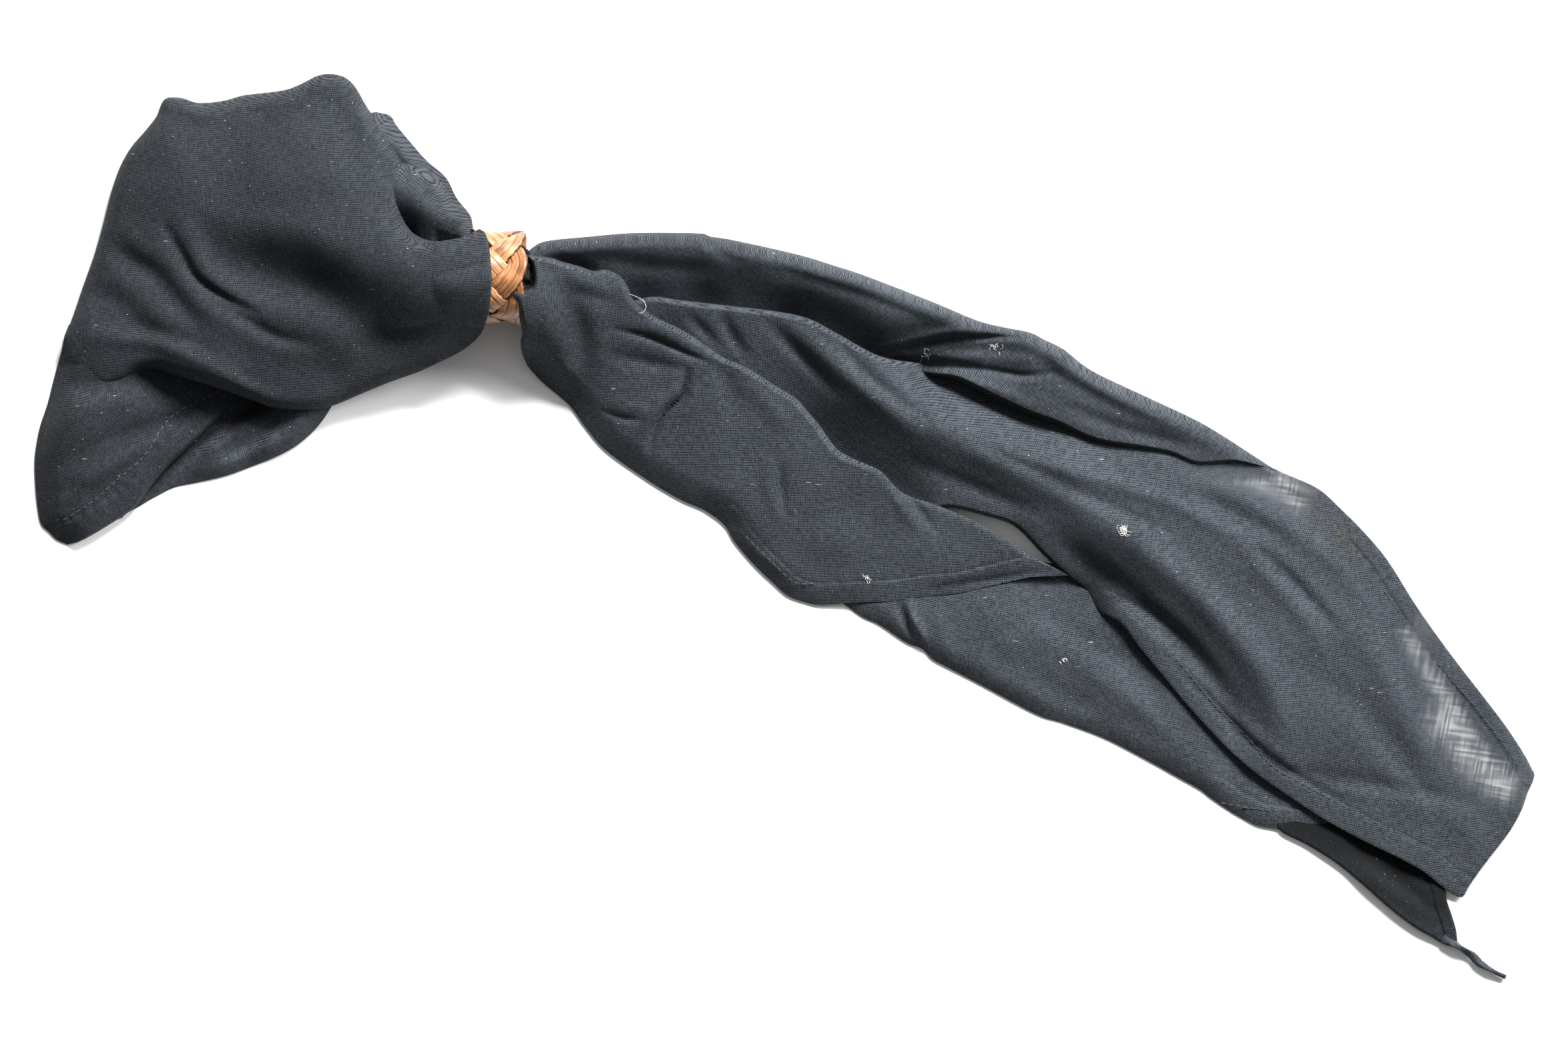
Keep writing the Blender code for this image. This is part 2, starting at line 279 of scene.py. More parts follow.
def from_line(xy, line, count=80):
    """Each plan point's distance from a line, and how far along it the nearest place is.

    The nearest of count places on the line is found, then the distance is taken square to the
    line's own direction there.
    """
    course = line_through(line, np.linspace(0, 1, count))
    nearest = squares_between(xy, course).argmin(1)
    away = xy.reshape(-1, 2) - course[nearest]
    run = np.gradient(course, axis=0)
    step = np.linalg.norm(run, axis=1)[nearest]
    run = run[nearest] / step[:, None]
    forward = np.clip((away * run).sum(1), -step / 2, step / 2)
    gap = np.linalg.norm(away - forward[:, None] * run, axis=1)
    along = (nearest + forward / step) / (count - 1)
    return gap.reshape(xy.shape[:-1]), along.reshape(xy.shape[:-1])


def crease(xy, line, width, height):
    """A ridge or a valley: height times a bell of the distance over width, fading at its ends."""
    gap, along = from_line(xy, line)
    return height * np.exp(-((gap / width) ** 2)) * np.sin(math.pi * (0.06 + 0.88 * along)) ** 0.7


def ripples(xy, seed, size, height):
    """Slight unevenness of worn cloth: eight sine waves of random direction, length and phase."""
    pick = np.random.default_rng(seed)
    turn = pick.uniform(0, math.pi, 8)
    length = size * pick.uniform(0.6, 1.7, 8)
    phase = pick.uniform(0, CIRCLE, 8)
    course = xy[..., 0, None] * np.cos(turn) + xy[..., 1, None] * np.sin(turn)
    return height * np.sin(CIRCLE * course / length + phase).sum(-1) / 8


def folded(xy, heights, reach, creases, *uneven):
    """A fold's upper side: the height through its places, its ripples, and its creases."""
    z = height_through(xy, heights, reach)
    for ripple in uneven:
        z = z + ripples(xy, *ripple)
    for line, width, height in creases:
        z += crease(xy, line, width, height)
    return z


def smooth_step(t):
    """From 0 to 1 as t does, level at both ends: t^2 (3 - 2t)."""
    t = np.clip(t, 0, 1)
    return t * t * (3 - 2 * t)


def rounded(distance, radius):
    """The rise from an edge, from 0 to 1: a quarter circle, or for a radius below 0 a soft ramp.

    The ramp is the sine of a quarter turn over the radius, as where cloth lies thin on a table.
    """
    t = np.clip(distance / abs(radius), 0, 1)
    return np.sqrt(1 - (1 - t) ** 2) if radius > 0 else np.sin(t * math.pi / 2) ** 0.9


def mesh_of(name, points, faces, material):
    """An object at the origin with this mesh, doubles merged, shaded smooth and facing outwards."""
    mesh = bpy.data.meshes.new(name)
    mesh.from_pydata((points.reshape(-1, 3) * MM).tolist(), [], faces)
    shell = bmesh.new()
    shell.from_mesh(mesh)
    bmesh.ops.remove_doubles(shell, verts=shell.verts, dist=1e-6)
    bmesh.ops.recalc_face_normals(shell, faces=shell.faces)
    shell.to_mesh(mesh)
    shell.free()
    mesh.shade_smooth()
    mesh.materials.append(material)
    piece = bpy.data.objects.new(name, mesh)
    bpy.context.collection.objects.link(piece)
    return piece


def grid_faces(rows, columns, wrap=False):
    """Quads of a grid of points listed row by row; wrap joins the last column to the first."""
    i, j = np.meshgrid(np.arange(rows - 1), np.arange(columns - (not wrap)), indexing="ij")
    k = (j + 1) % columns
    corners = (i * columns + j, i * columns + k, (i + 1) * columns + k, (i + 1) * columns + j)
    return np.stack(corners, -1).reshape(-1, 4)


def edge_loop(rows, columns):
    """The indices round the edge of a grid of points."""
    index = np.arange(rows * columns).reshape(rows, columns)
    return np.concatenate([index[0, :-1], index[:-1, -1], index[-1, :0:-1], index[:0:-1, 0]])


def points_of(mesh):
    """The mesh's points in metres."""
    co = np.empty(len(mesh.vertices) * 3, np.float32)
    mesh.vertices.foreach_get("co", co)
    return co.reshape(-1, 3)


def lay_over(mesh, name, uv):
    """A UV map with this place on it for each point of the mesh."""
    corner = np.empty(len(mesh.loops), np.int32)
    mesh.loops.foreach_get("vertex_index", corner)
    layer = mesh.uv_layers.new(name=name)
    layer.data.foreach_set("uv", uv[corner].astype(np.float32).ravel())


def paint(mesh, name, *masks):
    """A colour on the mesh's points whose red, green and blue are these masks."""
    colour = np.zeros((len(mesh.vertices), 4), np.float32)
    colour[:, 3] = 1
    for channel, mask in enumerate(masks):
        colour[:, channel] = mask
    layer = mesh.color_attributes.new(name, "FLOAT_COLOR", "POINT")
    layer.data.foreach_set("color", colour.ravel())


def as_cloth(piece, grain, sheer=(), dusty=(), deep=()):
    """Lays the weave on a piece of the cloth, marks it, and says what it rides on.

    The weave's coordinates are plan distance along and across the threads, turned by grain
    degrees. Height is added along the slope, so that threads aren't drawn out where the cloth
    stands up. Red marks where it is one layer thick, green where it is dusty and blue where its
    colour is painted darker as painted shade, in hollows, under folds and over some whole folds.
    Each mark is a bell, exp(-(distance / width)^2), about a short line, times a share.
    """
    places = points_of(piece.data)
    x, y, z = places.T
    turn = math.radians(grain)
    u = x * math.cos(turn) + y * math.sin(turn) + 0.35 * z
    v = y * math.cos(turn) - x * math.sin(turn) + 0.35 * z
    lay_over(piece.data, "threads", np.stack([u, v], 1))
    masks = np.zeros((3, len(places)))
    for mask, marks in zip(masks, (sheer, dusty, deep)):
        for line, width, share in marks:
            gap = from_line(places[:, :2] / MM, line, 40)[0]
            np.maximum(mask, share * np.exp(-((gap / width) ** 2)), out=mask)
    paint(piece.data, "marks", *masks)
    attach(piece, "neckerchief")
    return piece


def fold_of_cloth(name, edges, rims, top, low, lip, grain, grid=(160, 90), **marks):
    """One fold of the cloth, closed all round, from its four edge lines in millimetres.

    top(xy) and low(xy) are the heights of its upper and under sides, and lip how far up between
    them its edge lies. Towards each edge both sides meet in quarter circles of that edge's rim
    radius; a rim of 0 is an edge that runs on under its neighbour. Marks are as in as_cloth.
    """
    xy = spread_between(*edges, crowded(grid[0]), crowded(grid[1]))
    under = low(xy)
    upper = np.maximum(top(xy), under + 0.5)
    edge = under + lip * (upper - under)
    rise = np.ones(xy.shape[:2])
    for line, rim in zip(edges, rims):
        if rim:
            rise = np.minimum(rise, rounded(from_line(xy, line, 240)[0], rim))
    points = np.stack([np.dstack([xy, edge + (side - edge) * rise]) for side in (upper, under)])
    quads = grid_faces(*grid)
    ring = edge_loop(*grid)
    count = grid[0] * grid[1]
    wall = np.stack([ring, np.roll(ring, -1), np.roll(ring, -1) + count, ring + count], 1)
    faces = np.concatenate([quads, quads + count, wall]).tolist()
    return as_cloth(mesh_of(name, points, faces, black_cotton), grain, **marks)


# ---------------------------------------------------------------- loop: the crown fold
# The loop's broad top layer. It swells from the folded edge at the left, is drawn together into
# soft valleys towards the woggle, and rolls over the woggle's end as a flap.

woggle_low, woggle_high = (np.array(corner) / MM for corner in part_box("woggle_plait"))
woggle_middle = (woggle_low + woggle_high) / 2
woggle_radius = (woggle_high[2] - woggle_low[2]) / 2


def over_woggle(xy, clearance):
    """The height that clears the woggle lying along X: its middle plus sqrt(r^2 - dy^2)."""
    r = woggle_radius + clearance
    return woggle_middle[2] + np.sqrt(np.maximum(r**2 - (xy[..., 1] - woggle_middle[1]) ** 2, 0))


def near_woggle(xy, start, end):
    """From 0 to 1 as x goes from start to end, smoothly."""
    return smooth_step((xy[..., 0] - start) / (end - start))


crown_north = (
    (-299.5, 78), (-296, 88), (-292, 100), (-287, 114), (-283, 128), (-280, 140), (-276.5, 150),
    (-272, 158), (-266, 165), (-261, 171.5), (-259.5, 176), (-257, 178.6), (-251, 178.6),
    (-244, 176.5), (-234, 177.3), (-226, 179.5), (-220, 180.3), (-212, 181.2), (-206, 182.4),
    (-200, 185), (-195, 187.6), (-190, 188.6), (-184, 187.6), (-180, 184.8), (-177, 180.5),
    (-174.5, 176), (-171.5, 171.5), (-167, 165.5), (-162, 158), (-158.2, 151.5), (-157.6, 145),
    (-158.6, 138), (-158, 131), (-155.5, 124.5), (-151, 120.2), (-145, 118.6), (-138, 119.4),
    (-132, 120.8), (-129, 122.6), (-126.6, 123.9),
)
crown_east = (
    (-128.5, 77.5), (-125.5, 81.5), (-123.4, 87), (-122.2, 93), (-121.6, 100), (-121.7, 107),
    (-122.2, 113), (-123.2, 119), (-124.5, 122.2), (-126.6, 123.9),
)
crown_south = (
    (-299.5, 78), (-295, 68), (-287, 61), (-278, 61.5), (-270, 64.8), (-262, 65.6), (-255, 63.6),
    (-247, 61.2), (-238, 58.4), (-229, 55.4), (-221, 52.6), (-214, 50), (-206, 48.8), (-198, 48.7),
    (-192, 49.4), (-186, 51.2), (-178, 54.6), (-168, 58.8), (-160, 61.8), (-152, 64.6),
    (-145, 67.8), (-139, 70.6), (-133, 74), (-128.5, 77.5),
)
crown_heights = (
    (-300, 79, 9), (-285, 95, 11), (-275, 130, 12), (-262, 160, 11), (-240, 172, 11),
    (-200, 180, 12), (-180, 178, 12), (-165, 158, 15), (-160, 135, 22), (-290, 67, 11.5),
    (-278, 65, 12), (-285, 79, 14), (-266, 67.5, 14), (-255, 75, 17), (-230, 68, 18),
    (-205, 60, 16), (-180, 66, 17), (-158, 74, 22), (-140, 82, 29), (-255, 110, 17),
    (-245, 140, 18), (-210, 150, 21), (-180, 145, 25), (-225, 105, 19), (-200, 90, 22),
    (-170, 85, 26), (-150, 90, 36), (-150, 110, 36), (-136, 100, 44), (-126, 100, 43),
    (-128, 118, 33), (-145, 117, 24), (-128, 84, 27),
)
crown_creases = (
    (((-234, 110), (-214, 105), (-196, 100), (-181, 94), (-170, 88)), 11, -7.2),
    (((-236, 128), (-214, 126), (-192, 120), (-172, 112)), 9, 2.6),
    (((-172, 128), (-162, 118), (-150, 109), (-138, 104)), 8, 2.2),
    (((-225, 92), (-205, 86), (-188, 79), (-172, 72)), 8, 2.8),
    (
        ((-257, 124), (-252.5, 117), (-249, 111), (-246, 105.5), (-241, 100.5), (-232, 95),
        (-220, 89)), 1.8, -3.0,
    ),
    (((-252, 130), (-246, 118), (-240, 107), (-230, 99), (-216, 92)), 4.5, 1.8),
    (((-262, 118), (-255, 105), (-247, 96), (-236, 89)), 5, 1.6),
    (((-241, 96), (-232, 91), (-222, 85), (-211, 79), (-198, 76)), 2.6, -2.0),
    (((-238, 88), (-222, 79), (-204, 73), (-184, 70)), 5, 1.3),
    (((-281, 118), (-272, 111), (-261, 105), (-252, 94), (-243, 82)), 4.5, -2.4),
    (((-284, 108), (-272, 99), (-262, 88), (-252, 78)), 6, 1.4),
    (((-290, 98), (-275, 92), (-262, 84)), 5, -1.2),
    (((-276, 128), (-270, 118), (-262, 110)), 4, 1.0),
    (((-262, 128), (-254, 150), (-246, 168)), 13, 1.8),
    (((-240, 132), (-230, 150), (-222, 168)), 10, -2.4),
    (((-200, 128), (-194, 152), (-190, 178)), 15, 2.0),
    (((-179, 178), (-172, 160), (-168, 138)), 6, 2.2),
    (((-286, 79), (-276, 78), (-262, 76), (-246, 70), (-230, 62), (-216, 54)), 3.6, 1.8),
    (((-284, 86), (-270, 84), (-256, 80), (-238, 74)), 3.6, -1.3),
    (((-150, 82), (-163, 80), (-178, 74)), 5, -1.4),
    (((-156, 116), (-149, 100), (-152, 84)), 6, -1.4),
    (((-182, 60), (-164, 66), (-146, 76)), 6, 1.4),
)


def crown_top(xy):
    """The crown's upper side, which rises to roll over the woggle."""
    z = folded(xy, crown_heights, 14, crown_creases, (3, 34, 1.3), (4, 15, 0.4))
    roll = np.maximum(z, over_woggle(xy, 2.6))
    return z + (roll - z) * near_woggle(xy, -172, -141)


def crown_low(xy):
    """The crown's under side: near the floor, but close under its top at the woggle and corner."""
    flat = 6.0 * np.clip((75 - xy[..., 1]) / 12, 0, 1) + 0.6
    hollow = crown_top(xy) - 1.1
    corner = (1 - near_woggle(xy, -282, -266)) * np.clip((92 - xy[..., 1]) / 12, 0, 1)
    return flat + (hollow - flat) * np.maximum(near_woggle(xy, -156, -144), corner)


# Painted shade: the crown's colour is darkened all over.
crown = fold_of_cloth(
    "crown_fold_cloth",
    (crown_south, crown_north, ((-299.5, 78), (-299.5, 78.01)), crown_east),
    (5.5, 6.0, 0, 2.6), crown_top, crown_low, 0.12, -4, grid=(280, 170),
    deep=((((-300, 120), (-150, 120)), 300, 0.44),),
)
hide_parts("loop_crown_fold", "loop_flap")

# ---------------------------------------------------------------- loop: behind the front fold
# The part of the loop's top layer that turns back under the crown beside the woggle. It bulges
# below its own fold edge and goes dark where it enters the woggle.

back_north = (
    (-176, 166), (-173.5, 171.2), (-171, 172.6), (-168, 172.3), (-164, 171), (-161, 166.5),
    (-155, 159.3), (-149, 152.5), (-141, 145.5), (-136.5, 137), (-131, 130), (-129.7, 125),
    (-129.3, 121.5), (-130, 117),
)
back_south = ((-176, 166), (-172, 152), (-168, 138), (-163, 122), (-150, 113), (-130, 117))
back_heights = (
    (-172, 168, 12), (-166, 166, 10), (-160, 157, 13), (-152, 152, 9), (-147, 143, 15),
    (-156, 141, 21), (-150, 132, 20), (-141, 136, 11), (-141, 128, 13), (-152, 122, 12),
    (-140, 121, 8), (-132, 125, 8), (-160, 125, 12),
)
back_creases = (
    (((-162, 151), (-155, 150.5), (-148, 148.5), (-142, 142.5), (-138.5, 135)), 1.6, -3.2),
    (((-157, 146), (-150, 145), (-144, 140), (-141, 133)), 3, 1.6),
    (((-166, 160), (-160, 152), (-158, 145)), 2.4, -2.6),
    (((-152, 139), (-145, 131), (-138, 125)), 5, 1.4),
)


def under_woggle(xy, clearance):
    """The height that stays below the woggle: its middle less sqrt(r^2 - dy^2), free beside it."""
    square = (woggle_radius + clearance) ** 2 - (xy[..., 1] - woggle_middle[1]) ** 2
    return np.where(square > 0, woggle_middle[2] - np.sqrt(np.maximum(square, 0)), 60)


def back_top(xy):
    """The upper side behind the front fold, kept below the way that the woggle slides."""
    z = folded(xy, back_heights, 8, back_creases, (5, 20, 0.6))
    return np.minimum(z, under_woggle(xy, 2.0) + 40 * (1 - near_woggle(xy, -153, -144.5)))


def on_floor(xy):
    """The under side of a fold that lies on the table."""
    return np.full(xy.shape[:-1], 0.15)


# Painted shade: the back fold's colour is darkened over most of it.
back_fold = fold_of_cloth(
    "back_fold_cloth",
    (back_south, back_north, ((-176, 166), (-176, 166.01)), ((-130, 117), (-130, 117.01))),
    (0, -7.0, 0, 0), back_top, on_floor, 0.15, -35, grid=(120, 90),
    deep=((((-160, 130), (-140, 130)), 90, 0.25),),
)
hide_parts("loop_back_fold")

# ---------------------------------------------------------------- loop: below the pocket's mouth
# The loop's lower layer, seen below the crown's rolled edge, with the cloth's hem running across
# it, and the single layer that lies beyond that hem. The hems are lockstitched in black thread.

HEM_WIDTH = 9.4
STITCH_LENGTH = 2.3
STITCH_STEP = 3.1
THREAD_WIDTH = 0.5

lobe_south = (
    (-298.5, -7.2), (-293, -5.8), (-286, -2), (-279.5, 2), (-274, 5.5), (-269, 9.5), (-262, 19),
    (-255, 27), (-248, 33.5), (-236, 45), (-229, 51.5), (-222, 57),
)
lobe_west = (
    (-298.5, -7.2), (-303, -5.2), (-306, -2.2), (-309.5, 1.5), (-311, 9), (-311.8, 18), (-312, 28),
    (-311, 36), (-309.5, 43), (-306.5, 52), (-304, 62), (-301, 73), (-299.8, 79), (-298, 84),
)
lobe_north = ((-298, 84), (-288, 90), (-275, 86), (-262, 76), (-245, 68), (-225, 62))
lobe_heights = (
    (-309, 25, 10), (-306, 50, 11), (-301, 70, 9), (-295, 40, 14.5), (-297, 15, 11),
    (-296, 82, 8.6), (-288, 88, 10), (-286, 73, 12.2), (-272, 78, 10), (-300, 2, 7),
    (-294, 65, 10.6), (-286, 61, 11.6), (-278, 61, 10.6), (-270, 65, 8.4), (-262, 58, 4.5),
    (-248, 57, 4), (-232, 55, 3.6), (-288, 48, 13), (-275, 44, 9.5), (-262, 42, 6.5),
    (-248, 42, 5), (-284, 24, 11), (-271, 25, 8.5), (-281, 8, 7.5), (-262, 24, 6),
)
lobe_creases = (
    (((-298, 26), (-282, 35), (-264, 41), (-244, 48)), 5, -3.6),
    (((-292, 16), (-276, 28), (-258, 41)), 3.4, 2.4),
    (((-300, 44), (-284, 52), (-266, 52)), 6, 2.6),
    (((-305, 60), (-288, 58), (-272, 60)), 5, -2.0),
    (((-307, 14), (-296, 16), (-284, 14)), 5, -1.0),
)
lobe_stitches = (
    (-300.5, 2.6), (-288.5, 10.1), (-277.6, 19.6), (-265.7, 30.4), (-254.9, 46), (-233, 57.5),
)


def hem_band(xy, edge, width, rise):
    """The doubled cloth of a hem: rise within width of the edge, ending in a soft step.

    Close to its line of stitches the band is drawn into small puckers.
    """
    gap, along = from_line(xy, edge, 160)
    pucker = np.sin(along * length_of(edge, 160) * CIRCLE / 6.3)
    pucker = 0.14 * pucker * np.exp(-(((gap - width) / 3.2) ** 2))
    groove = 0.26 * np.exp(-(((gap - width) / 0.6) ** 2))
    return rise * smooth_step((width + 0.5 - gap) / 1.1) + pucker - groove


def lobe_top(xy):
    """The lower layer's upper side, with the hem along its open edge."""
    z = folded(xy, lobe_heights, 10, lobe_creases, (7, 24, 0.7))
    return z + hem_band(xy, lobe_south, HEM_WIDTH, 0.45)


def unit(vectors):
    """The vectors, each with the length 1."""
    return vectors / np.linalg.norm(vectors, axis=-1, keepdims=True)


def strands(name, xy, z, width, material, round_it=6):
    """Short strands, one for each row of plan points xy with heights z, pointed at both ends.

    Half the width at the fraction t of a strand's length is sin(pi t)^0.4 times the most.
    """
    count, steps = z.shape
    run = unit(np.gradient(xy, axis=1))
    side = np.stack([-run[..., 1], run[..., 0]], -1)
    half = width / 2 * np.abs(np.sin(math.pi * np.linspace(0, 1, steps))) ** 0.4
    a = np.linspace(0, CIRCLE, round_it, endpoint=False)
    plan = xy[:, :, None] + (half[:, None] * np.cos(a))[None, ..., None] * side[:, :, None]
    rise = z[:, :, None] + (half[:, None] * np.sin(a))[None]
    first = np.arange(count)[:, None, None] * steps * round_it
    faces = (first + grid_faces(steps, round_it, wrap=True)).reshape(-1, 4).tolist()
    piece = mesh_of(name, np.concatenate([plan, rise[..., None]], -1), faces, material)
    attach(piece, "neckerchief")


def fibre_material(name, dark, light):
    """Spun fibre: its colour wanders between two along the strand, with a faint sheen."""
    material, tree = new_material(name, Sheen_Weight=0.2)
    share = noise(tree, add_node(tree, "TexCoord", {}, "Object"), 1800)
    share = between(tree, share, 0.35, 0.65)
    rough = maths(tree, "MULTIPLY_ADD", share, 0.2, 0.6)
    return finished(material, Base_Color=tinted(tree, share, dark, light), Roughness=rough)


hem_thread = fibre_material("hem thread", (0.003, 0.004, 0.005), (0.02, 0.023, 0.027))


def row_of_stitches(name, line, top, lift=0.12):
    """A lockstitched row along a line on a fold: one stitch in each step of its length."""
    reach = length_of(line)
    start = np.arange(int(reach / STITCH_STEP)) * STITCH_STEP + 0.4
    at = (start[:, None] + np.linspace(0, STITCH_LENGTH, 9)) / reach
    xy = line_through(line, at.ravel()).reshape(*at.shape, 2)
    strands(name, xy, top(xy) + lift, THREAD_WIDTH, hem_thread)


# Painted shade: the lobe is darkened broadly, and more in a band along its long diagonal valley.
lobe = fold_of_cloth(
    "lower_lobe_cloth",
    (lobe_south, lobe_north, lobe_west, ((-222, 57), (-225, 62))),
    (1.8, 0, -11.0, 0), lobe_top, on_floor, 0.08, 14, grid=(190, 130),
    deep=((((-300, 20), (-250, 50)), 90, 0.47), (((-290, 28), (-264, 41), (-238, 53)), 7, 0.6)),
)
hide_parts("loop_lower_lobe")
row_of_stitches("lobe_stitches", lobe_stitches, lobe_top)

flap_south = (
    (-276, 3.5), (-274, 5.5), (-268, 9), (-262, 12.5), (-254, 16.5), (-245, 18.5), (-232, 21.5),
    (-221, 25.5), (-211, 29.5), (-203, 34), (-196, 40), (-191.5, 45.5), (-187.5, 52),
)
flap_north = ((-279, 8), (-268, 18), (-255, 33), (-240, 50), (-225, 63), (-206, 62), (-186, 57))
flap_heights = (
    (-272, 8, 2), (-258, 21, 1.6), (-243, 34, 1.6), (-232, 45, 1.4), (-221, 49, 1),
    (-213, 45, 3.4), (-236, 31, 6), (-215, 34, 7), (-203, 42, 8), (-198, 50, 8), (-225, 28, 4.5),
    (-205, 55, 6), (-190, 52, 6),
)
flap_creases = (
    (((-246, 27), (-232, 37), (-220, 47)), 3.0, 3.0),
    (((-238, 25), (-222, 35), (-210, 45)), 3.0, -2.4),
    (((-250, 22), (-232, 27), (-214, 33)), 3.5, 1.0),
)


def flap_top(xy):
    """The single layer beyond the hem: low at its edge, rising towards the crown's fold."""
    return folded(xy, flap_heights, 8, flap_creases, (9, 16, 0.5))


# Painted shade: a dark line beside the hem and a dark patch under the crown's edge.
hem_flap = fold_of_cloth(
    "hem_flap_cloth",
    (flap_south, flap_north, ((-276, 3.5), (-279, 8)), ((-187.5, 52), (-186, 57))),
    (-8.0, 0, 0, 0), flap_top, on_floor, 0.1, 26, grid=(150, 70),
    deep=((((-264, 17), (-248, 32), (-234, 43)), 2.5, 0.8), (((-229, 42), (-219, 50)), 6, 0.95)),
)
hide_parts("loop_hem_flap")

# ---------------------------------------------------------------- tails: the far tail's roll
# The far tail leaves the woggle as one big soft roll along its upper edge. Its lower side falls
# into a long valley, and half way along it is drawn into a hollow shaped like a lens.

roll_north = (
    (-107, 114.5), (-104.5, 116.6), (-101, 118.5), (-95, 119.6), (-83, 120.7), (-66, 122.2),
    (-50, 122.5), (-34, 122.1), (-31.5, 121), (-21, 119.3), (5, 113.5), (20, 109), (35, 104),
    (62, 93.5), (80, 86), (92, 83), (102, 81), (108, 78), (116, 74), (128, 65), (151, 54),
    (174, 43), (195.5, 29.5), (206, 22.5),
)
roll_south = (
    (-106, 106), (-92, 104), (-80, 100), (-66, 91), (-50, 86), (-21, 83), (-3, 80), (10, 77),
    (21, 72), (36, 66.5), (43, 66.2), (49, 65.4), (62, 63), (71, 61.5), (80, 57), (88.5, 52.6),
    (102, 46.5), (112, 43), (129, 35.4), (147, 32.4), (160, 30), (171, 25.7), (187, 26.3),
    (198, 25), (206, 22.5),
)
roll_heights = (
    (-104, 112, 26), (-95, 116, 24), (-80, 117, 23.5), (-50, 118, 22.5), (-20, 114, 22.5),
    (10, 106, 22), (40, 96, 21), (70, 86, 19), (100, 77, 17), (130, 60, 15), (160, 45, 12.5),
    (190, 30, 8), (205, 23, 5), (-95, 109, 21), (-80, 107, 19), (-62, 98, 10.5), (-30, 96, 9.5),
    (0, 93, 9), (20, 85, 8.5), (34, 76.5, 7), (44, 71, 5), (49, 65.5, 4), (56, 69.5, 6.5),
    (75, 71.5, 10), (92, 71, 12), (-60, 110, 19.5), (-30, 108, 19), (0, 103, 18.5), (25, 95, 18),
    (45, 85, 17), (-60, 104, 15.5), (-30, 102, 15), (0, 98, 14.5), (22, 90, 13.5), (38, 81, 12.5),
    (56, 64.4, 6), (64, 62.7, 9), (71, 62, 11), (90, 55, 12.5), (110, 46, 12.5), (129, 38, 12),
    (147, 35, 10.5), (171, 29, 8.5), (112, 60, 14.5), (140, 45, 13), (-20, 86, 5), (15, 76, 4),
    (-60, 92, 6),
)
roll_creases = (
    (((40, 71.5), (48, 73.8), (56, 75.6), (66, 77.3), (80, 78.8), (97, 79)), 1.2, -3.0),
    (((44, 75), (58, 79), (74, 81.5), (92, 82)), 2.2, 1.6),
    (((38, 70), (46, 69), (56, 67.6), (66, 66.8), (78, 66.4)), 2.6, -3.2),
    (((72, 66.5), (86, 65), (100, 63), (112, 64)), 1.6, -1.8),
    (((58, 73), (72, 71), (88, 70), (104, 69)), 2.6, 1.4),
    (((56, 63.8), (72, 61.2), (88, 57), (100, 51)), 2.4, 1.2),
    (((-102, 112), (-90, 108.5), (-78, 105.5)), 4.0, -4.0),
    (((-90, 118), (-50, 114.5), (-10, 109)), 6, 1.4),
    (((-84, 113), (-60, 109), (-30, 107)), 3.4, -1.2),
    (((20, 108), (60, 93), (82, 84.5)), 3.0, 1.4),
    (((0, 106), (30, 97), (56, 87)), 2.6, -1.0),
    (((100, 74), (120, 60), (150, 45)), 4, -1.5),
    (((112, 69), (135, 55), (165, 41)), 3.6, 1.6),
    (((118, 50), (140, 41), (170, 33)), 3, -1.4),
    (((-33, 121), (-29, 116), (-22, 111)), 2.2, -0.9),
)


def roll_top(xy):
    """The roll's upper side: its crest by the outline, the valley and the hollow."""
    return folded(xy, roll_heights, 9, roll_creases, (11, 26, 0.8))


def roll_low(xy):
    """The roll's under side: on the table, but above the panel where the roll lies over it."""
    x, y = xy[..., 0], xy[..., 1]
    beyond = np.clip((x - 36) / 24, 0, 1)
    return 0.4 + beyond * (roll_top(xy) - 1.8) * np.clip((92 - 0.42 * x - y) / 12, 0, 1)


# Painted shade: darker along its upper edge by the woggle and along the valley under its lower
# edge.
far_roll = fold_of_cloth(
    "far_roll_cloth",
    (roll_south, roll_north, ((-106, 106), (-107, 114.5)), ((206, 22.5), (206, 22.51))),
    (2.2, 7.0, 0, 0), roll_top, roll_low, 0.2, 42, grid=(420, 100),
    deep=(
        (((-98, 117), (-60, 121), (-20, 118)), 8, 0.35),
        (((60, 63), (86, 54), (112, 43), (132, 34)), 3, 0.6),
    ),
)
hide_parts("far_tail_roll")

# ---------------------------------------------------------------- tails: the far tail's panel
# Below the roll a second fold swells out, then the tail opens flat to a hemmed end. Along its
# right-hand hem and beside the roll it is a single sheer layer.

panel_north = (
    (-74, 84), (-68, 91), (-60, 95), (-53, 95.8), (-43, 94.3), (-21, 91.8), (-3, 89.6), (10, 86.7),
    (21, 81), (36, 72.6), (46, 69.5), (60, 68), (72, 66), (90, 60), (112, 51), (130, 43),
    (150, 39), (171, 33), (190, 30), (209, 22), (222, 16), (231, 8), (241, -2), (251, -14),
    (263, -33), (276.5, -52), (290, -69.5), (299.5, -82), (307.5, -94), (311.5, -101.5),
)
panel_east = (
    (280.5, -154), (282.5, -153.3), (285, -149), (291, -140.5), (301, -127.5), (306.5, -118),
    (309, -111), (312, -104), (311.5, -101.5),
)
panel_south = (
    (-74, 80), (-52, 74), (-32, 63), (-10, 50), (10, 34), (25, 19), (38, 11), (50, 6.5), (60, 6.5),
    (67, 8.0), (74, 7.2), (83, 4.8), (93, 1.8), (98, -1.6), (102, -5.6), (108, -12), (118, -21),
    (126, -27), (131, -35.4), (139.5, -40.4), (146.5, -49), (156.5, -61), (169, -76), (183, -91),
    (195.4, -102), (209.6, -112), (225, -122), (241, -130.7), (254, -137), (265, -143),
    (274, -150), (280.5, -154),
)
panel_hem = panel_south[18:]
side_hem = panel_north[-8:]
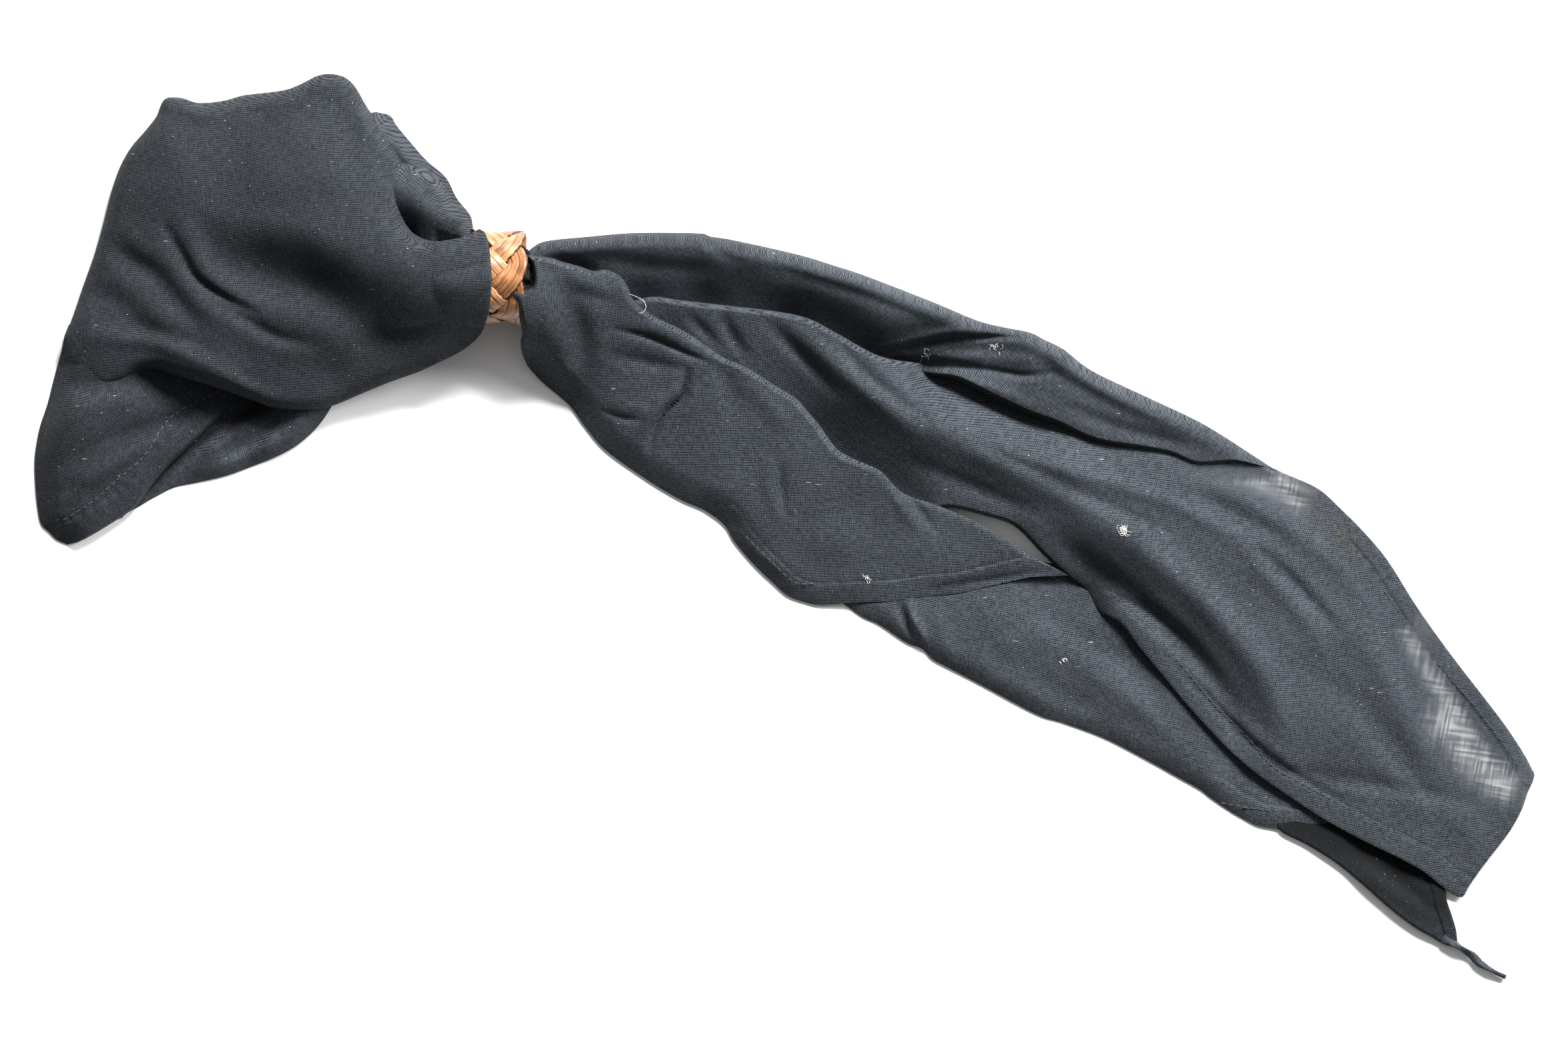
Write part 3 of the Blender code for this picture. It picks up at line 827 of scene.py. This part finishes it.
panel_heights = (
    (-66, 88, 11), (-42, 90, 16), (-20, 87, 17), (0, 84, 17.5), (20, 76, 18), (34, 68, 18),
    (48, 57, 17.5), (66, 44, 17), (90, 34, 16.5), (118, 25, 15.5), (-44, 82, 12), (-12, 68, 11.5),
    (6, 57, 8.5), (24, 40, 5), (42, 27, 5), (56, 17, 6), (66, 12, 8), (18, 60, 14), (36, 45, 13),
    (56, 32, 12.5), (78, 22, 12.5), (76, 11, 9), (95, 4, 8.5), (104, -6, 8.5), (112, -14, 7),
    (119, -21, 4.5), (128, -28, 2.4), (114, 5, 11), (124, -6, 11.5), (134, -15, 11),
    (138, -27, 7.5), (60, 61, 4.5), (72, 57, 4), (92, 49, 4.5), (112, 42, 6), (132, 35, 7.5),
    (170, 26, 6.6), (120, 12, 14), (150, 12, 13.5), (140, -38, 6.5), (157, -60, 6.2),
    (183, -90, 5.6), (210, -111, 4.8), (240, -129, 5), (264, -142, 4.4), (280, -153, 2.6),
    (150, -10, 12.5), (165, -22, 11), (200, -9, 10), (215, 6, 5), (200, -46, 11), (230, -40, 7),
    (250, -30, 3.4), (173, -70, 6), (213, -60, 10), (217, -82, 9), (250, -70, 6), (240, -100, 6),
    (275, -80, 3.4), (295, -95, 2.6), (270, -115, 4.6), (300, -112, 2.6),
)
panel_creases = (
    (
        ((118, 6), (139, -3), (155, -14), (174, -31), (190, -49), (200, -64), (205, -79),
        (206, -96)), 7, 5.0,
    ),
    (
        ((112, -6), (130, -18), (147, -31), (162, -46), (175, -61), (185, -75), (190, -90)),
        5.5, -4.5,
    ),
    (((197, -9.6), (206, -18), (216, -28), (229, -42)), 2.6, -2.4),
    (((192, -12), (204, -24), (216, -38), (222, -50)), 4, 1.6),
    (((60, 42), (90, 27), (125, 11), (150, -1)), 6, 2.0),
    (((78, 36), (105, 23), (140, 8)), 3.0, -1.8),
    (((92, 31), (128, 21), (165, 8), (192, -8)), 3.6, 1.6),
    (((104, 19), (130, 10), (158, -1)), 2.6, -1.4),
    (((-6, 84), (8, 70), (22, 56)), 3.0, -2.2),
    (((-26, 88), (-22, 80), (-16, 71)), 2.8, -1.8),
    (((4, 84), (18, 70), (34, 56), (52, 42)), 4.2, 2.0),
    (((22, 76), (38, 60), (60, 44)), 3.0, -1.8),
    (((-40, 88), (-34, 82), (-28, 76)), 2.4, -1.2),
    (((168, 14), (190, 4), (210, -6)), 4.6, -1.8),
    (((180, 16), (205, 2), (225, -12), (240, -30)), 4.6, 1.6),
    (((228, -34), (248, -58), (262, -88), (270, -110)), 6.5, 1.6),
    (((215, -58), (240, -76), (262, -104), (276, -128)), 6, -1.6),
    (((134, -30), (150, -34), (168, -48), (180, -62)), 2.6, -1.6),
    (((150, -42), (172, -62), (192, -84), (214, -101)), 3.6, 1.4),
    (((158, -52), (180, -76), (204, -98), (232, -114)), 2.2, -1.2),
    (((240, -90), (262, -112), (288, -130)), 6, 1.2),
    (((205, -100), (240, -106), (285, -114)), 3.4, -1.2),
    (((54, 27), (80, 16), (104, 6)), 3.4, -1.4),
)
panel_stitches = (
    (136, -27.6), (153, -43), (178, -73), (192, -87), (202, -98.6), (213, -105.5), (229, -114),
    (245, -122.5), (258, -128.5), (269, -134.6), (278, -141.5), (285.7, -145.8),
)
side_stitches = (
    (249, -26), (262, -44), (277, -63), (285, -72), (294, -83.5), (301, -93), (306.5, -101),
)


def panel_top(xy):
    """The panel's upper side: the second fold, the flat of the tail, and its two hems."""
    z = folded(xy, panel_heights, 9, panel_creases, (13, 30, 0.8))
    return z + hem_band(xy, panel_hem, HEM_WIDTH, 0.35) + hem_band(xy, side_hem, 6.7, 0.35)


def panel_low(xy):
    """The panel's under side: on the table, and just under its top where it is one layer."""
    return 0.4 + np.clip((xy[..., 0] - 120) / 30, 0, 1) * (panel_top(xy) - 1.4)


# Painted shade: darker beside the near tail's tip and between the near tail's upper edge and the
# second fold.
far_panel = fold_of_cloth(
    "far_panel_cloth",
    (panel_south, panel_north, ((-74, 80), (-74, 84)), panel_east),
    (1.8, 2.6, 0, 1.4), panel_top, panel_low, 0.45, -10, grid=(380, 125),
    sheer=(
        (((174, 24), (190, 22), (204, 17), (214, 11)), 8, 0.89),
        (((260, -44), (270, -62), (283, -83), (296, -102)), 8, 0.86),
        (((274, -80), (287, -96), (299, -106)), 14, 0.88),
    ),
    dusty=((((212, 13), (226, 4), (238, -9)), 6, 0.5),),
    deep=(
        (((98, -3), (110, -14), (122, -25), (130, -33)), 7, 0.75),
        (((14, 46), (26, 34), (44, 22), (58, 13)), 6, 0.5),
    ),
)
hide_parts("far_tail_panel")
row_of_stitches("panel_stitches", panel_stitches, panel_top)
row_of_stitches("side_stitches", side_stitches, panel_top)

# ---------------------------------------------------------------- tails: the lowest layers
# Under the near tail lies a further layer with its hem, under that the lowest one, and from its
# corner the hem runs out as a thin twisted string.

under_south = (
    (20, -29), (26, -33), (32.5, -37.5), (39.5, -40.7), (50.5, -48), (57, -50.6), (61.5, -55),
    (67.5, -58.2), (85, -67.4), (105, -78), (116, -81.5), (132.5, -87.6), (148.5, -95.7),
    (163.5, -104), (172.5, -109), (177, -112.5), (185, -118), (191, -121.5), (197, -124.3),
    (205, -125.6), (213, -127), (222, -127), (232, -126),
)
under_north = (
    (22, -22), (60, -18), (100, -14), (128, -20), (140, -32), (160, -56), (185, -84), (215, -107),
    (234, -119),
)
under_heights = (
    (28, -30, 3), (45, -36, 4.5), (60, -46, 5), (60, -32, 4), (85, -40, 5), (85, -60, 4.5),
    (110, -30, 2), (110, -60, 5.5), (120, -76, 3.4), (130, -40, 2.4), (140, -70, 5),
    (150, -90, 3.8), (165, -92, 4), (180, -105, 3.4), (200, -118, 2.4), (225, -122, 2),
    (150, -56, 2.4), (190, -100, 2),
)
under_creases = (
    (((51.5, -31), (53, -37), (55.5, -42), (58.5, -49)), 1.6, 2.4),
    (((48, -33), (50, -39), (53, -46)), 1.6, -2.2),
    (((62, -36), (66, -44), (68, -54)), 3.4, 1.0),
    (((95, -40), (120, -54), (150, -78), (176, -100)), 5, 1.2),
    (((84, -50), (110, -66), (140, -84)), 5, -1.0),
    (((112, -38), (135, -52), (158, -74)), 4, -1.0),
)
under_stitches = ((181, -114.5), (196, -117.2), (212, -118.2), (230, -116.5))
lowest_south = (
    (203, -122), (207, -127), (217, -132), (229, -139.5), (239.5, -148), (252, -159),
    (262, -166.5), (269, -170.5), (274, -173.3), (280, -174.5),
)
lowest_north = ((203, -106), (215, -108), (240, -124), (258, -134), (272, -143))
lowest_east = (
    (280, -174.5), (279.5, -168), (277.5, -161), (275.6, -155.5), (274.6, -150), (272, -143),
)
lowest_heights = (
    (210, -122, 2), (230, -130, 2.4), (245, -145, 3.2), (262, -158, 3.6), (272, -168, 3),
    (255, -145, 1.6), (268, -152, 2.4), (277, -170, 2.4), (240, -136, 1.6),
)
lowest_creases = (
    (((236, -140), (250, -150), (266, -160)), 4, 1.2),
    (((244, -140), (256, -148), (270, -160)), 2.6, -0.9),
)


def under_top(xy):
    """The layer under the near tail: a low sheet with a crossing fold near its start."""
    z = folded(xy, under_heights, 9, under_creases, (17, 20, 0.5))
    return z + hem_band(xy, under_south[15:], HEM_WIDTH, 0.3)


def lowest_top(xy):
    """The lowest layer: nearly flat, with its last hem."""
    z = folded(xy, lowest_heights, 7, lowest_creases, (19, 14, 0.3))
    return z + hem_band(xy, lowest_east, 5.5, 0.5)


def on_lowest(xy):
    """The under side of the layer that lies over the lowest one."""
    return 0.2 + 0.8 * np.clip((xy[..., 0] - 190) / 15, 0, 1)


under = fold_of_cloth(
    "under_tail_cloth",
    (under_south, under_north, ((20, -29), (22, -22)), ((232, -126), (234, -119))),
    (-8.0, 0, 0, 0), under_top, on_lowest, 0.12, -12, grid=(300, 80),
)
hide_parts("under_tail")
row_of_stitches("under_stitches", under_stitches, under_top, 0.0)
# Painted shade: the lowest layer is darkened nearly all over, below the panel's hem.
lowest = fold_of_cloth(
    "lowest_tail_cloth",
    (lowest_south, lowest_north, ((203, -122), (203, -106)), lowest_east),
    (1.4, 0, 0, 1.4), lowest_top, on_floor, 0.45, -40, grid=(150, 60),
    deep=((((215, -120), (245, -136), (272, -152)), 26, 0.95),),
)
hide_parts("lowest_tail")


def closed_tube(name, rings, ends):
    """A tube of rings of points in the cloth, each end closed by a fan about its own point."""
    steps, round_it = rings.shape[:2]
    ring = np.arange(round_it)
    beside = np.roll(ring, -1)
    last = (steps - 1) * round_it
    faces = grid_faces(steps, round_it, wrap=True).tolist()
    for end, first in enumerate((0, last)):
        tip = np.full(round_it, last + round_it + end)
        faces += np.stack([tip, first + beside, first + ring], 1).tolist()
    points = np.concatenate([rings.reshape(-1, 3), ends])
    return mesh_of(name, points, faces, black_cotton)


def twisted_string(course, width, thickness, turns, round_it=16):
    """A flat strand along a course: an ellipse carried along it that turns as it goes.

    Its width and thickness are given at its start and at its end.
    """
    at = np.linspace(0, 1, 90)
    path = line_through(course, at)
    run = unit(np.gradient(path, axis=0))
    side = unit(np.cross(run, (0, 0, 1.0)))
    up = np.cross(side, run)
    at = at[:, None]
    turn = turns * CIRCLE * at
    a = np.linspace(0, CIRCLE, round_it, endpoint=False)
    w, h = (((1 - at) * start + at * end) / 2 for start, end in (width, thickness))
    fray = 1 + 0.12 * np.sin(5 * a + 40 * at)
    across, above = w * np.cos(a) * fray, h * np.sin(a) * fray
    first = across * np.cos(turn) - above * np.sin(turn)
    second = np.maximum(across * np.sin(turn) + above * np.cos(turn), 0.25 - path[:, 2:])
    rings = path[:, None] + first[..., None] * side[:, None] + second[..., None] * up[:, None]
    return closed_tube("hem_string_cloth", rings, path[[0, -1]])


string_course = (
    (274, -170.5, 2.2), (279, -173.5, 2.2), (285, -177.5, 2.0), (289.5, -181.5, 2.0),
    (295, -184.8, 1.8), (300, -187.3, 1.6),
)
string = as_cloth(twisted_string(string_course, (5.0, 2.0), (2.2, 1.6), 0.9), -35)
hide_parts("hem_tip")

# ---------------------------------------------------------------- tails: the near tail
# The front tail bulges out of the woggle, drops to the table and lies flat to a narrow hemmed
# point. Its upper edge is a soft fold that stands clear of the layers below.

near_north = (
    (-107, 113), (-97, 112.4), (-92, 110.7), (-85, 108.8), (-79.5, 107), (-74.5, 107.8),
    (-69.5, 106), (-66.4, 103), (-64.5, 99), (-63.6, 95.8), (-61.5, 93.3), (-57.6, 90.4),
    (-52, 87), (-48, 85.2), (-39, 80.5), (-26, 71.5), (-16, 67), (-3.5, 59), (5, 53.5), (9, 49),
    (14, 43), (20, 34.5), (23, 31.5), (29, 28.2), (39, 23.8), (44, 19), (47, 15.8), (52, 12.8),
    (62, 9.5), (70, 6.4), (80, 1.9), (94, -6.2), (99, -9.6), (104, -12.8), (111, -16.2),
    (118, -20),
)
near_west = (
    (-107, 67), (-108.9, 71.5), (-109.7, 76.5), (-109, 80.5), (-109.8, 85), (-110.6, 90),
    (-111.4, 94), (-112.9, 97.2), (-110.6, 98.3), (-107.4, 98.4), (-105.4, 99.8), (-105, 103.2),
    (-105.6, 107.5), (-107, 113),
)
near_south = (
    (-107, 67), (-104.5, 64), (-100, 59.5), (-89.5, 50.5), (-83, 41.7), (-74.5, 32), (-57, 19.5),
    (-43.5, 11.5), (-33, 6.8), (-25, 0.7), (-21, -6), (-13, -15.4), (-4.5, -23.5), (1, -28.4),
    (7, -30.8), (14.5, -32.4), (25, -31.7), (45.5, -30.7), (59, -28.7), (72, -27.6), (90, -23.5),
    (103, -20.8), (118, -20),
)
near_heights = (
    (-109, 95, 37.5), (-108, 88, 36), (-107, 78, 27), (-106, 70, 14), (-100, 109, 31),
    (-104, 102, 34), (-95, 98, 31), (-88, 88, 26), (-95, 78, 24), (-92, 66, 15), (-90, 55, 8),
    (-80, 98, 27), (-80, 80, 20), (-80, 62, 13), (-78, 45, 7.5), (-72, 103, 24), (-68, 95, 22),
    (-62, 86, 19), (-50, 81, 18), (-55, 70, 15), (-38, 73, 17), (-26, 66, 16.5), (-40, 52, 13),
    (-60, 52, 12.5), (-66, 35, 8), (-48, 20, 6.5), (-20, 48, 13.5), (-30, 25, 9.5), (0, 50, 15),
    (0, 22, 11), (-14, 2, 7), (14, 33, 13.5), (20, 2, 9), (29, 22, 12.5), (44, 12, 11.5),
    (60, 2, 9.5), (42, -10, 7.5), (0, -18, 6), (20, -26, 5.6), (60, -24, 5.6), (84, -6, 8),
    (90, -18, 6), (110, -18.5, 5.6),
)
near_creases = (
    (((-71, 82), (-64, 80.6), (-56, 78.6), (-48, 75.4), (-41, 72.2), (-33, 69)), 1.3, -1.7),
    (((-66, 85.5), (-54, 82.5), (-44, 78), (-34, 72)), 2.8, 1.2),
    (((-76, 78), (-62, 76), (-50, 72), (-39, 67.5)), 3.6, 0.9),
    (((-72, 71), (-58, 68.5), (-44, 66)), 2.6, -1.0),
    (((-40.4, 65), (-41.6, 59), (-43, 54.5), (-49, 48.5), (-53.6, 41), (-56.5, 32)), 1.3, -3.2),
    (((-45, 62), (-47, 56), (-53, 49), (-59, 40)), 2.6, 2.2),
    (((-37.5, 60), (-39, 53), (-45, 45)), 2.4, 1.0),
    (((-77, 49), (-69, 45.8), (-59, 44.2)), 1.2, -1.0),
    (((-73, 52), (-64, 49.5), (-56, 48.5)), 2.6, 0.7),
    (((-101, 100), (-98, 86), (-97, 72)), 5, 1.8),
    (((-91, 98), (-86, 82), (-84, 64)), 5, -2.2),
    (((-80, 90), (-77, 78), (-78, 66)), 4.5, 1.4),
    (((-92, 105), (-82, 101.5), (-72, 99)), 4, 1.4),
    (((-88, 98), (-78, 95), (-70, 92)), 3.4, -1.4),
    (((-30, 68), (-24, 60), (-22, 48)), 4.6, -1.4),
    (((-18, 62), (-8, 52), (2, 40)), 4.0, 1.0),
    (((-8, 28), (-6.6, 16), (-3, 4)), 2.6, 0.8),
    (((-2.5, 30), (-1.6, 18), (0, 6)), 1.6, -0.8),
    (((42, 17), (50, 6), (57, -3)), 2.4, 0.9),
    (((48, 20), (55.5, 8), (62.5, -1)), 1.8, -1.0),
    (((-20, -2), (-12, -10), (0, -20)), 2.0, 1.2),
    (((-30, 20), (0, 0), (30, -8), (70, -10)), 9, 1.2),
    (((60, -26), (85, -22), (108, -18.5)), 1.8, -0.9),
)
near_stitches = (
    (-16.6, -3.4), (-7.1, -12.9), (0.1, -19.9), (3, -22.2), (6.5, -23.5), (16, -23.4),
    (27.9, -22.4), (54.3, -19.6), (81, -15.6), (100, -13.2),
)


def near_top(xy):
    """The near tail's upper side: from the woggle's rim down to its long hem."""
    z = folded(xy, near_heights, 9, near_creases, (23, 28, 0.8))
    return z + hem_band(xy, near_south[9:], 8.6, 0.35)


def near_low(xy):
    """Its under side: close under its top at the woggle and over the layers below."""
    x, top = xy[..., 0], near_top(xy)
    low = 0.4 + (top - 2.4) * (1 - np.clip((x + 112) / 16, 0, 1))
    return low + np.clip((x - 10) / 30, 0, 1) * (top - 1.6 - low)


# Painted shade: darker where it leaves the woggle, and faintly over its upper part.
near_tail = fold_of_cloth(
    "near_tail_cloth",
    (near_south, near_north, near_west, ((118, -20), (118, -19.99))),
    (-12.0, 3.0, 2.6, 0), near_top, near_low, 0.12, 2, grid=(340, 138),
    deep=((((-105, 95), (-78, 85)), 28, 0.38), (((-60, 80), (-20, 60), (10, 20)), 120, 0.05)),
)
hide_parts("near_tail")
row_of_stitches("near_stitches", near_stitches, near_top, -0.35)

# ---------------------------------------------------------------- lint on the tails
# Pale fibres caught on the worn cloth: a curled one beside the near tail's fold, and small tufts,
# each a few curved fibres about one place.

HAIR_WIDTH = 0.2
LINT_WIDTH = 0.17

pale_fibre = fibre_material("pale lint", (0.32, 0.31, 0.28), (0.62, 0.61, 0.57))
hair_points = ((-65, 97), (-61.5, 95.6), (-58.8, 94), (-57.6, 91.6), (-58.6, 89.4), (-61, 88.8))
curled_hair = line_through(hair_points, np.linspace(0, 1, 40))[None]
strands("curled_hair", curled_hair, np.full((1, 40), 24.2), HAIR_WIDTH, pale_fibre)


def tuft(name, middle, top, count, size, seed):
    """A tuft of lint: arcs through random places about the middle, lying on top(xy)."""
    pick = np.random.default_rng(seed)
    start = np.array(middle) + pick.normal(0, size * 0.22, (count, 2))
    turn, bend = pick.uniform(0, CIRCLE, count), pick.uniform(-5, 5, count)
    course = turn[:, None] + bend[:, None] * np.linspace(0, 1, 12)
    step = size * pick.uniform(0.5, 1.1, count)[:, None, None] / 12
    run = np.stack([np.cos(course), np.sin(course)], -1) * step
    xy = start[:, None] + np.cumsum(run, 1)
    strands(name, xy, top(xy) + 0.25, LINT_WIDTH, pale_fibre)


tuft("panel_tuft", (141, -1), panel_top, 30, 3.6, 31)
tuft("under_tuft", (116, -56), under_top, 7, 3.0, 32)
tuft("roll_tuft", (88, 74), roll_top, 9, 3.4, 33)
tuft("roll_fluff", (57, 72), roll_top, 6, 5.0, 34)
tuft("near_tuft", (34, -21), near_top, 14, 2.4, 36)

# ---------------------------------------------------------------- the cloth inside the woggle
# Between loop and tails the whole cloth is bundled into one thick rope of pleats, which the
# woggle grips.

GATHER_RADIUS = 13.6
GATHER_ENDS = (-142.6, -105.8)
PLEATS = 17


def gathered_rope(start, end):
    """A rope of pleats along X: radius less a |sin| of the angle, which wanders along the rope."""
    x = np.linspace(start, end, 60)[:, None]
    a = np.linspace(0, CIRCLE, 240, endpoint=False)
    wander = 0.25 * np.sin(x / 7.0) + 0.2 * np.sin(2 * a)
    depth = 2.6 + 0.8 * np.sin(3 * a + x / 9)
    taper = 1 - 0.22 * np.clip((x - end + 5) / 5, 0, 1) ** 2
    r = taper * GATHER_RADIUS - depth * np.abs(np.sin(PLEATS / 2 * (a + wander))) ** 1.4
    y, z = woggle_middle[1:]
    rings = np.stack([x + 0 * a, y + r * np.cos(a), z + r * np.sin(a)], -1)
    return closed_tube("neck_gather_cloth", rings, [[start, y, z], [end, y, z]])


# Painted shade: the rope is darkened all over, as it lies inside the woggle.
gather_painted_shade = ((((-140, 104), (-106, 104)), 80, 0.9),)
gather = as_cloth(gathered_rope(*GATHER_ENDS), 0, deep=gather_painted_shade)
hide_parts("neck_gather")

# ---------------------------------------------------------------- the woggle
# One flat strip of vegetable-tanned leather, scored with two lines and cut with raw edges, and
# plaited wet into a ring: a Turk's head of three leads and seven bights, its ends tucked inside.

WOGGLE_LENGTH = 24.5
LACE_WIDTH = 9.5
LACE_THICKNESS = 2.0
LACE_LENGTH = 430
SCORED_AT = 1.7
LEADS = 3
BIGHTS = 7
LACE_STEPS = 720
LEATHER_TAN = (0.15, 0.055, 0.018)
LEATHER_PALE = (0.40, 0.185, 0.075)
LEATHER_EDGE = (0.035, 0.012, 0.005)
FLESH_SIDE = (0.36, 0.17, 0.07)

# The strip's profile: its place across, from -1 to 1 over the grain side and back underneath.
profile = np.concatenate([np.linspace(-1, 1, 29), np.linspace(1, -1, 15)])
grain_side = np.arange(len(profile)) < 29


def plaited_lace(phase):
    """The points of the plaited strip: its profile carried round the ring.

    Along the strip's course the place across the ring is half its swing times cos u, with u the
    angle times bights over leads, and it rides over or under as sin 2u, flattened by tanh. At its
    bights it leans in, and the bights at the ring's right end are drawn in a little.
    """
    a = np.linspace(0, CIRCLE * LEADS, LACE_STEPS, endpoint=False)
    u = a * BIGHTS / LEADS
    wave = 37 * a
    fine_wave = 83 * a + 1
    a = a + phase
    over = -np.tanh(1.9 * np.sin(2 * u)) / math.tanh(1.9)
    r = woggle_radius - LACE_THICKNESS * 1.15 + over * LACE_THICKNESS * 0.5
    drawn_in = 1 - 0.2 * np.abs(np.sin(a) - 0.34) * (np.cos(u) > 0) * np.cos(u) ** 2
    swing = (WOGGLE_LENGTH - LACE_WIDTH) / 2 * drawn_in
    path = np.stack([swing * np.cos(u), r * np.sin(a), r * np.cos(a)], 1)
    run = unit(np.roll(path, -1, 0) - np.roll(path, 1, 0))
    side = unit(np.cross(run, np.stack([0 * a, np.sin(a), np.cos(a)], 1)))
    up = np.cross(side, run)
    half, off = LACE_WIDTH / 2, np.abs(profile)
    cut = 0.3 * (off > 0.97)
    scored = 0.3 * np.exp(-(((off * half - SCORED_AT) / 0.26) ** 2))
    crown = LACE_THICKNESS / 2 - 0.35 + 0.6 * (1 - off**2.6)
    lift = np.where(grain_side, crown - cut - scored, cut - LACE_THICKNESS / 2)
    across = (half + 0.12 * np.sin(wave)[:, None]) * profile
    across = across + 0.08 * np.sin(fine_wave)[:, None] * off
    tilt = 0.42 * np.cos(u)[:, None] ** 3
    sideways = (across * np.cos(tilt) - lift * np.sin(tilt))[..., None] * side[:, None]
    upwards = (lift * np.cos(tilt) + across * np.sin(tilt))[..., None] * up[:, None]
    return path[:, None] + sideways + upwards + woggle_middle


def leather_material():
    """Tanned leather: smooth grain side, dark scored lines, raw edges painted dark brown as their
    own colour and as painted shade, flecked flesh side.
    """
    material, tree = new_material("tan leather", Specular_IOR_Level=0.5)
    strip = add_node(tree, "UVMap", {}, uv_map="strip")
    where = add_node(tree, "TexCoord", {}, "Object")
    flesh, edge = painted(tree, "sides")[:2]
    streaks = drawn_noise(tree, strip, (60, 700, 1), 3.0)
    cloudy = maths(tree, "MULTIPLY", noise(tree, where, 160, 3.0), 0.5)
    tone = between(tree, maths(tree, "MULTIPLY_ADD", streaks, 0.55, cloudy), 0.38, 0.66)
    grain = tinted(tree, tone, LEATHER_TAN, LEATHER_PALE)
    across = maths(tree, "ABSOLUTE", add_node(tree, "SeparateXYZ", {0: strip}, 1))
    off_line = maths(tree, "ABSOLUTE", maths(tree, "SUBTRACT", across, SCORED_AT * MM))
    scored = between(tree, off_line, 0.00016, 0.00036, 1.0, 0.0)
    grain = tinted(tree, maths(tree, "MULTIPLY", scored, 0.6), grain, LEATHER_EDGE)
    fleck = between(tree, noise(tree, where, 1100, 1.0), 0.6, 0.7)
    rough_side = tinted(tree, maths(tree, "MULTIPLY", fleck, 0.6), FLESH_SIDE, LEATHER_EDGE)
    faced = tinted(tree, flesh, grain, rough_side)
    # The raw edges in patches: their own dark brown, and painted shade along the strands' edges.
    edge_wear_and_shade = between(tree, maths(tree, "MULTIPLY", edge, noise(tree, where, 500)), 0.25, 0.5)
    rough = maths(tree, "MULTIPLY_ADD", streaks, 0.25, 0.26)
    relief = maths(tree, "MULTIPLY_ADD", noise(tree, where, 1500), 0.35, streaks)
    relief = maths(tree, "MULTIPLY_ADD", edge_wear_and_shade, -0.8, relief)
    return finished(
        material,
        Base_Color=tinted(tree, edge_wear_and_shade, faced, LEATHER_EDGE),
        Roughness=maths(tree, "MULTIPLY_ADD", flesh, 0.35, rough),
        Normal=bumped(tree, relief, 0.4, 0.00015),
    )


lace_faces = grid_faces(LACE_STEPS + 1, len(profile), wrap=True) % (LACE_STEPS * len(profile))
woggle = mesh_of("woggle_lace", plaited_lace(0.35), lace_faces.tolist(), leather_material())
lace_run = np.linspace(0, LACE_LENGTH, LACE_STEPS, endpoint=False)[:, None]
lace_uv = np.dstack(np.broadcast_arrays(lace_run, profile * LACE_WIDTH / 2)) * MM
lay_over(woggle.data, "strip", lace_uv.reshape(-1, 2))
# The raw-edge mask: the cut edges' own colour and painted shade along the strands' edges.
lace_edge = np.clip((np.abs(profile) - 0.9) / 0.06, 0, 1)
paint(woggle.data, "sides", *(np.tile(mask, LACE_STEPS) for mask in (~grain_side, lace_edge)))
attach(woggle, "woggle")
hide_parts("woggle_plait")

# ---------------------------------------------------------------- floor, light and camera
# A plain white table, two soft lamps from the upper right, light from all round that is stronger
# from the top side, and a camera straight above with a long lens.

VIEW_WIDTH = 0.6525
VIEW_HEIGHT_ABOVE = 12.0
SENSOR_WIDTH = 36

bpy.ops.mesh.primitive_plane_add(size=14, location=(0, 0, -0.0001))
floor = bpy.context.object
floor.name = "table_top"
white = new_material("white table", Base_Color=(0.93, 0.93, 0.93, 1), Roughness=0.9)[0]
floor.data.materials.append(white)

for name, place, size, power in (
    ("window", (0.75, 2.2, 1.75), 0.8, 270),
    ("side_window", (1.35, 0.75, 0.85), 0.6, 42),
):
    lamp = bpy.data.objects.new(name, bpy.data.lights.new(name, "AREA"))
    lamp.data.size = size
    lamp.data.energy = power
    lamp.location = place
    x, y, z = place
    lamp.rotation_euler = (math.acos(z / math.hypot(*place)), 0, math.atan2(x, -y))
    bpy.context.collection.objects.link(lamp)

camera = bpy.data.objects.new("camera", bpy.data.cameras.new("camera"))
camera.data.sensor_width = SENSOR_WIDTH
camera.data.lens = SENSOR_WIDTH * VIEW_HEIGHT_ABOVE / VIEW_WIDTH
camera.data.clip_end = 50
camera.location = (-0.0003, 0.0015, VIEW_HEIGHT_ABOVE)
bpy.context.collection.objects.link(camera)
bpy.context.scene.camera = camera

world = bpy.data.worlds.new("room")
world.use_nodes = True
sky = world.node_tree
north = add_node(sky, "SeparateXYZ", {0: add_node(sky, "TexCoord", {}, "Generated")}, 1)
glow = sky.nodes["Background"].inputs
glow["Color"].default_value = (1, 1, 1, 1)
sky.links.new(between(sky, north, -0.8, 0.8, 0.16, 0.56), glow["Strength"])
bpy.context.scene.world = world
bpy.context.scene.view_settings.view_transform = "Standard"
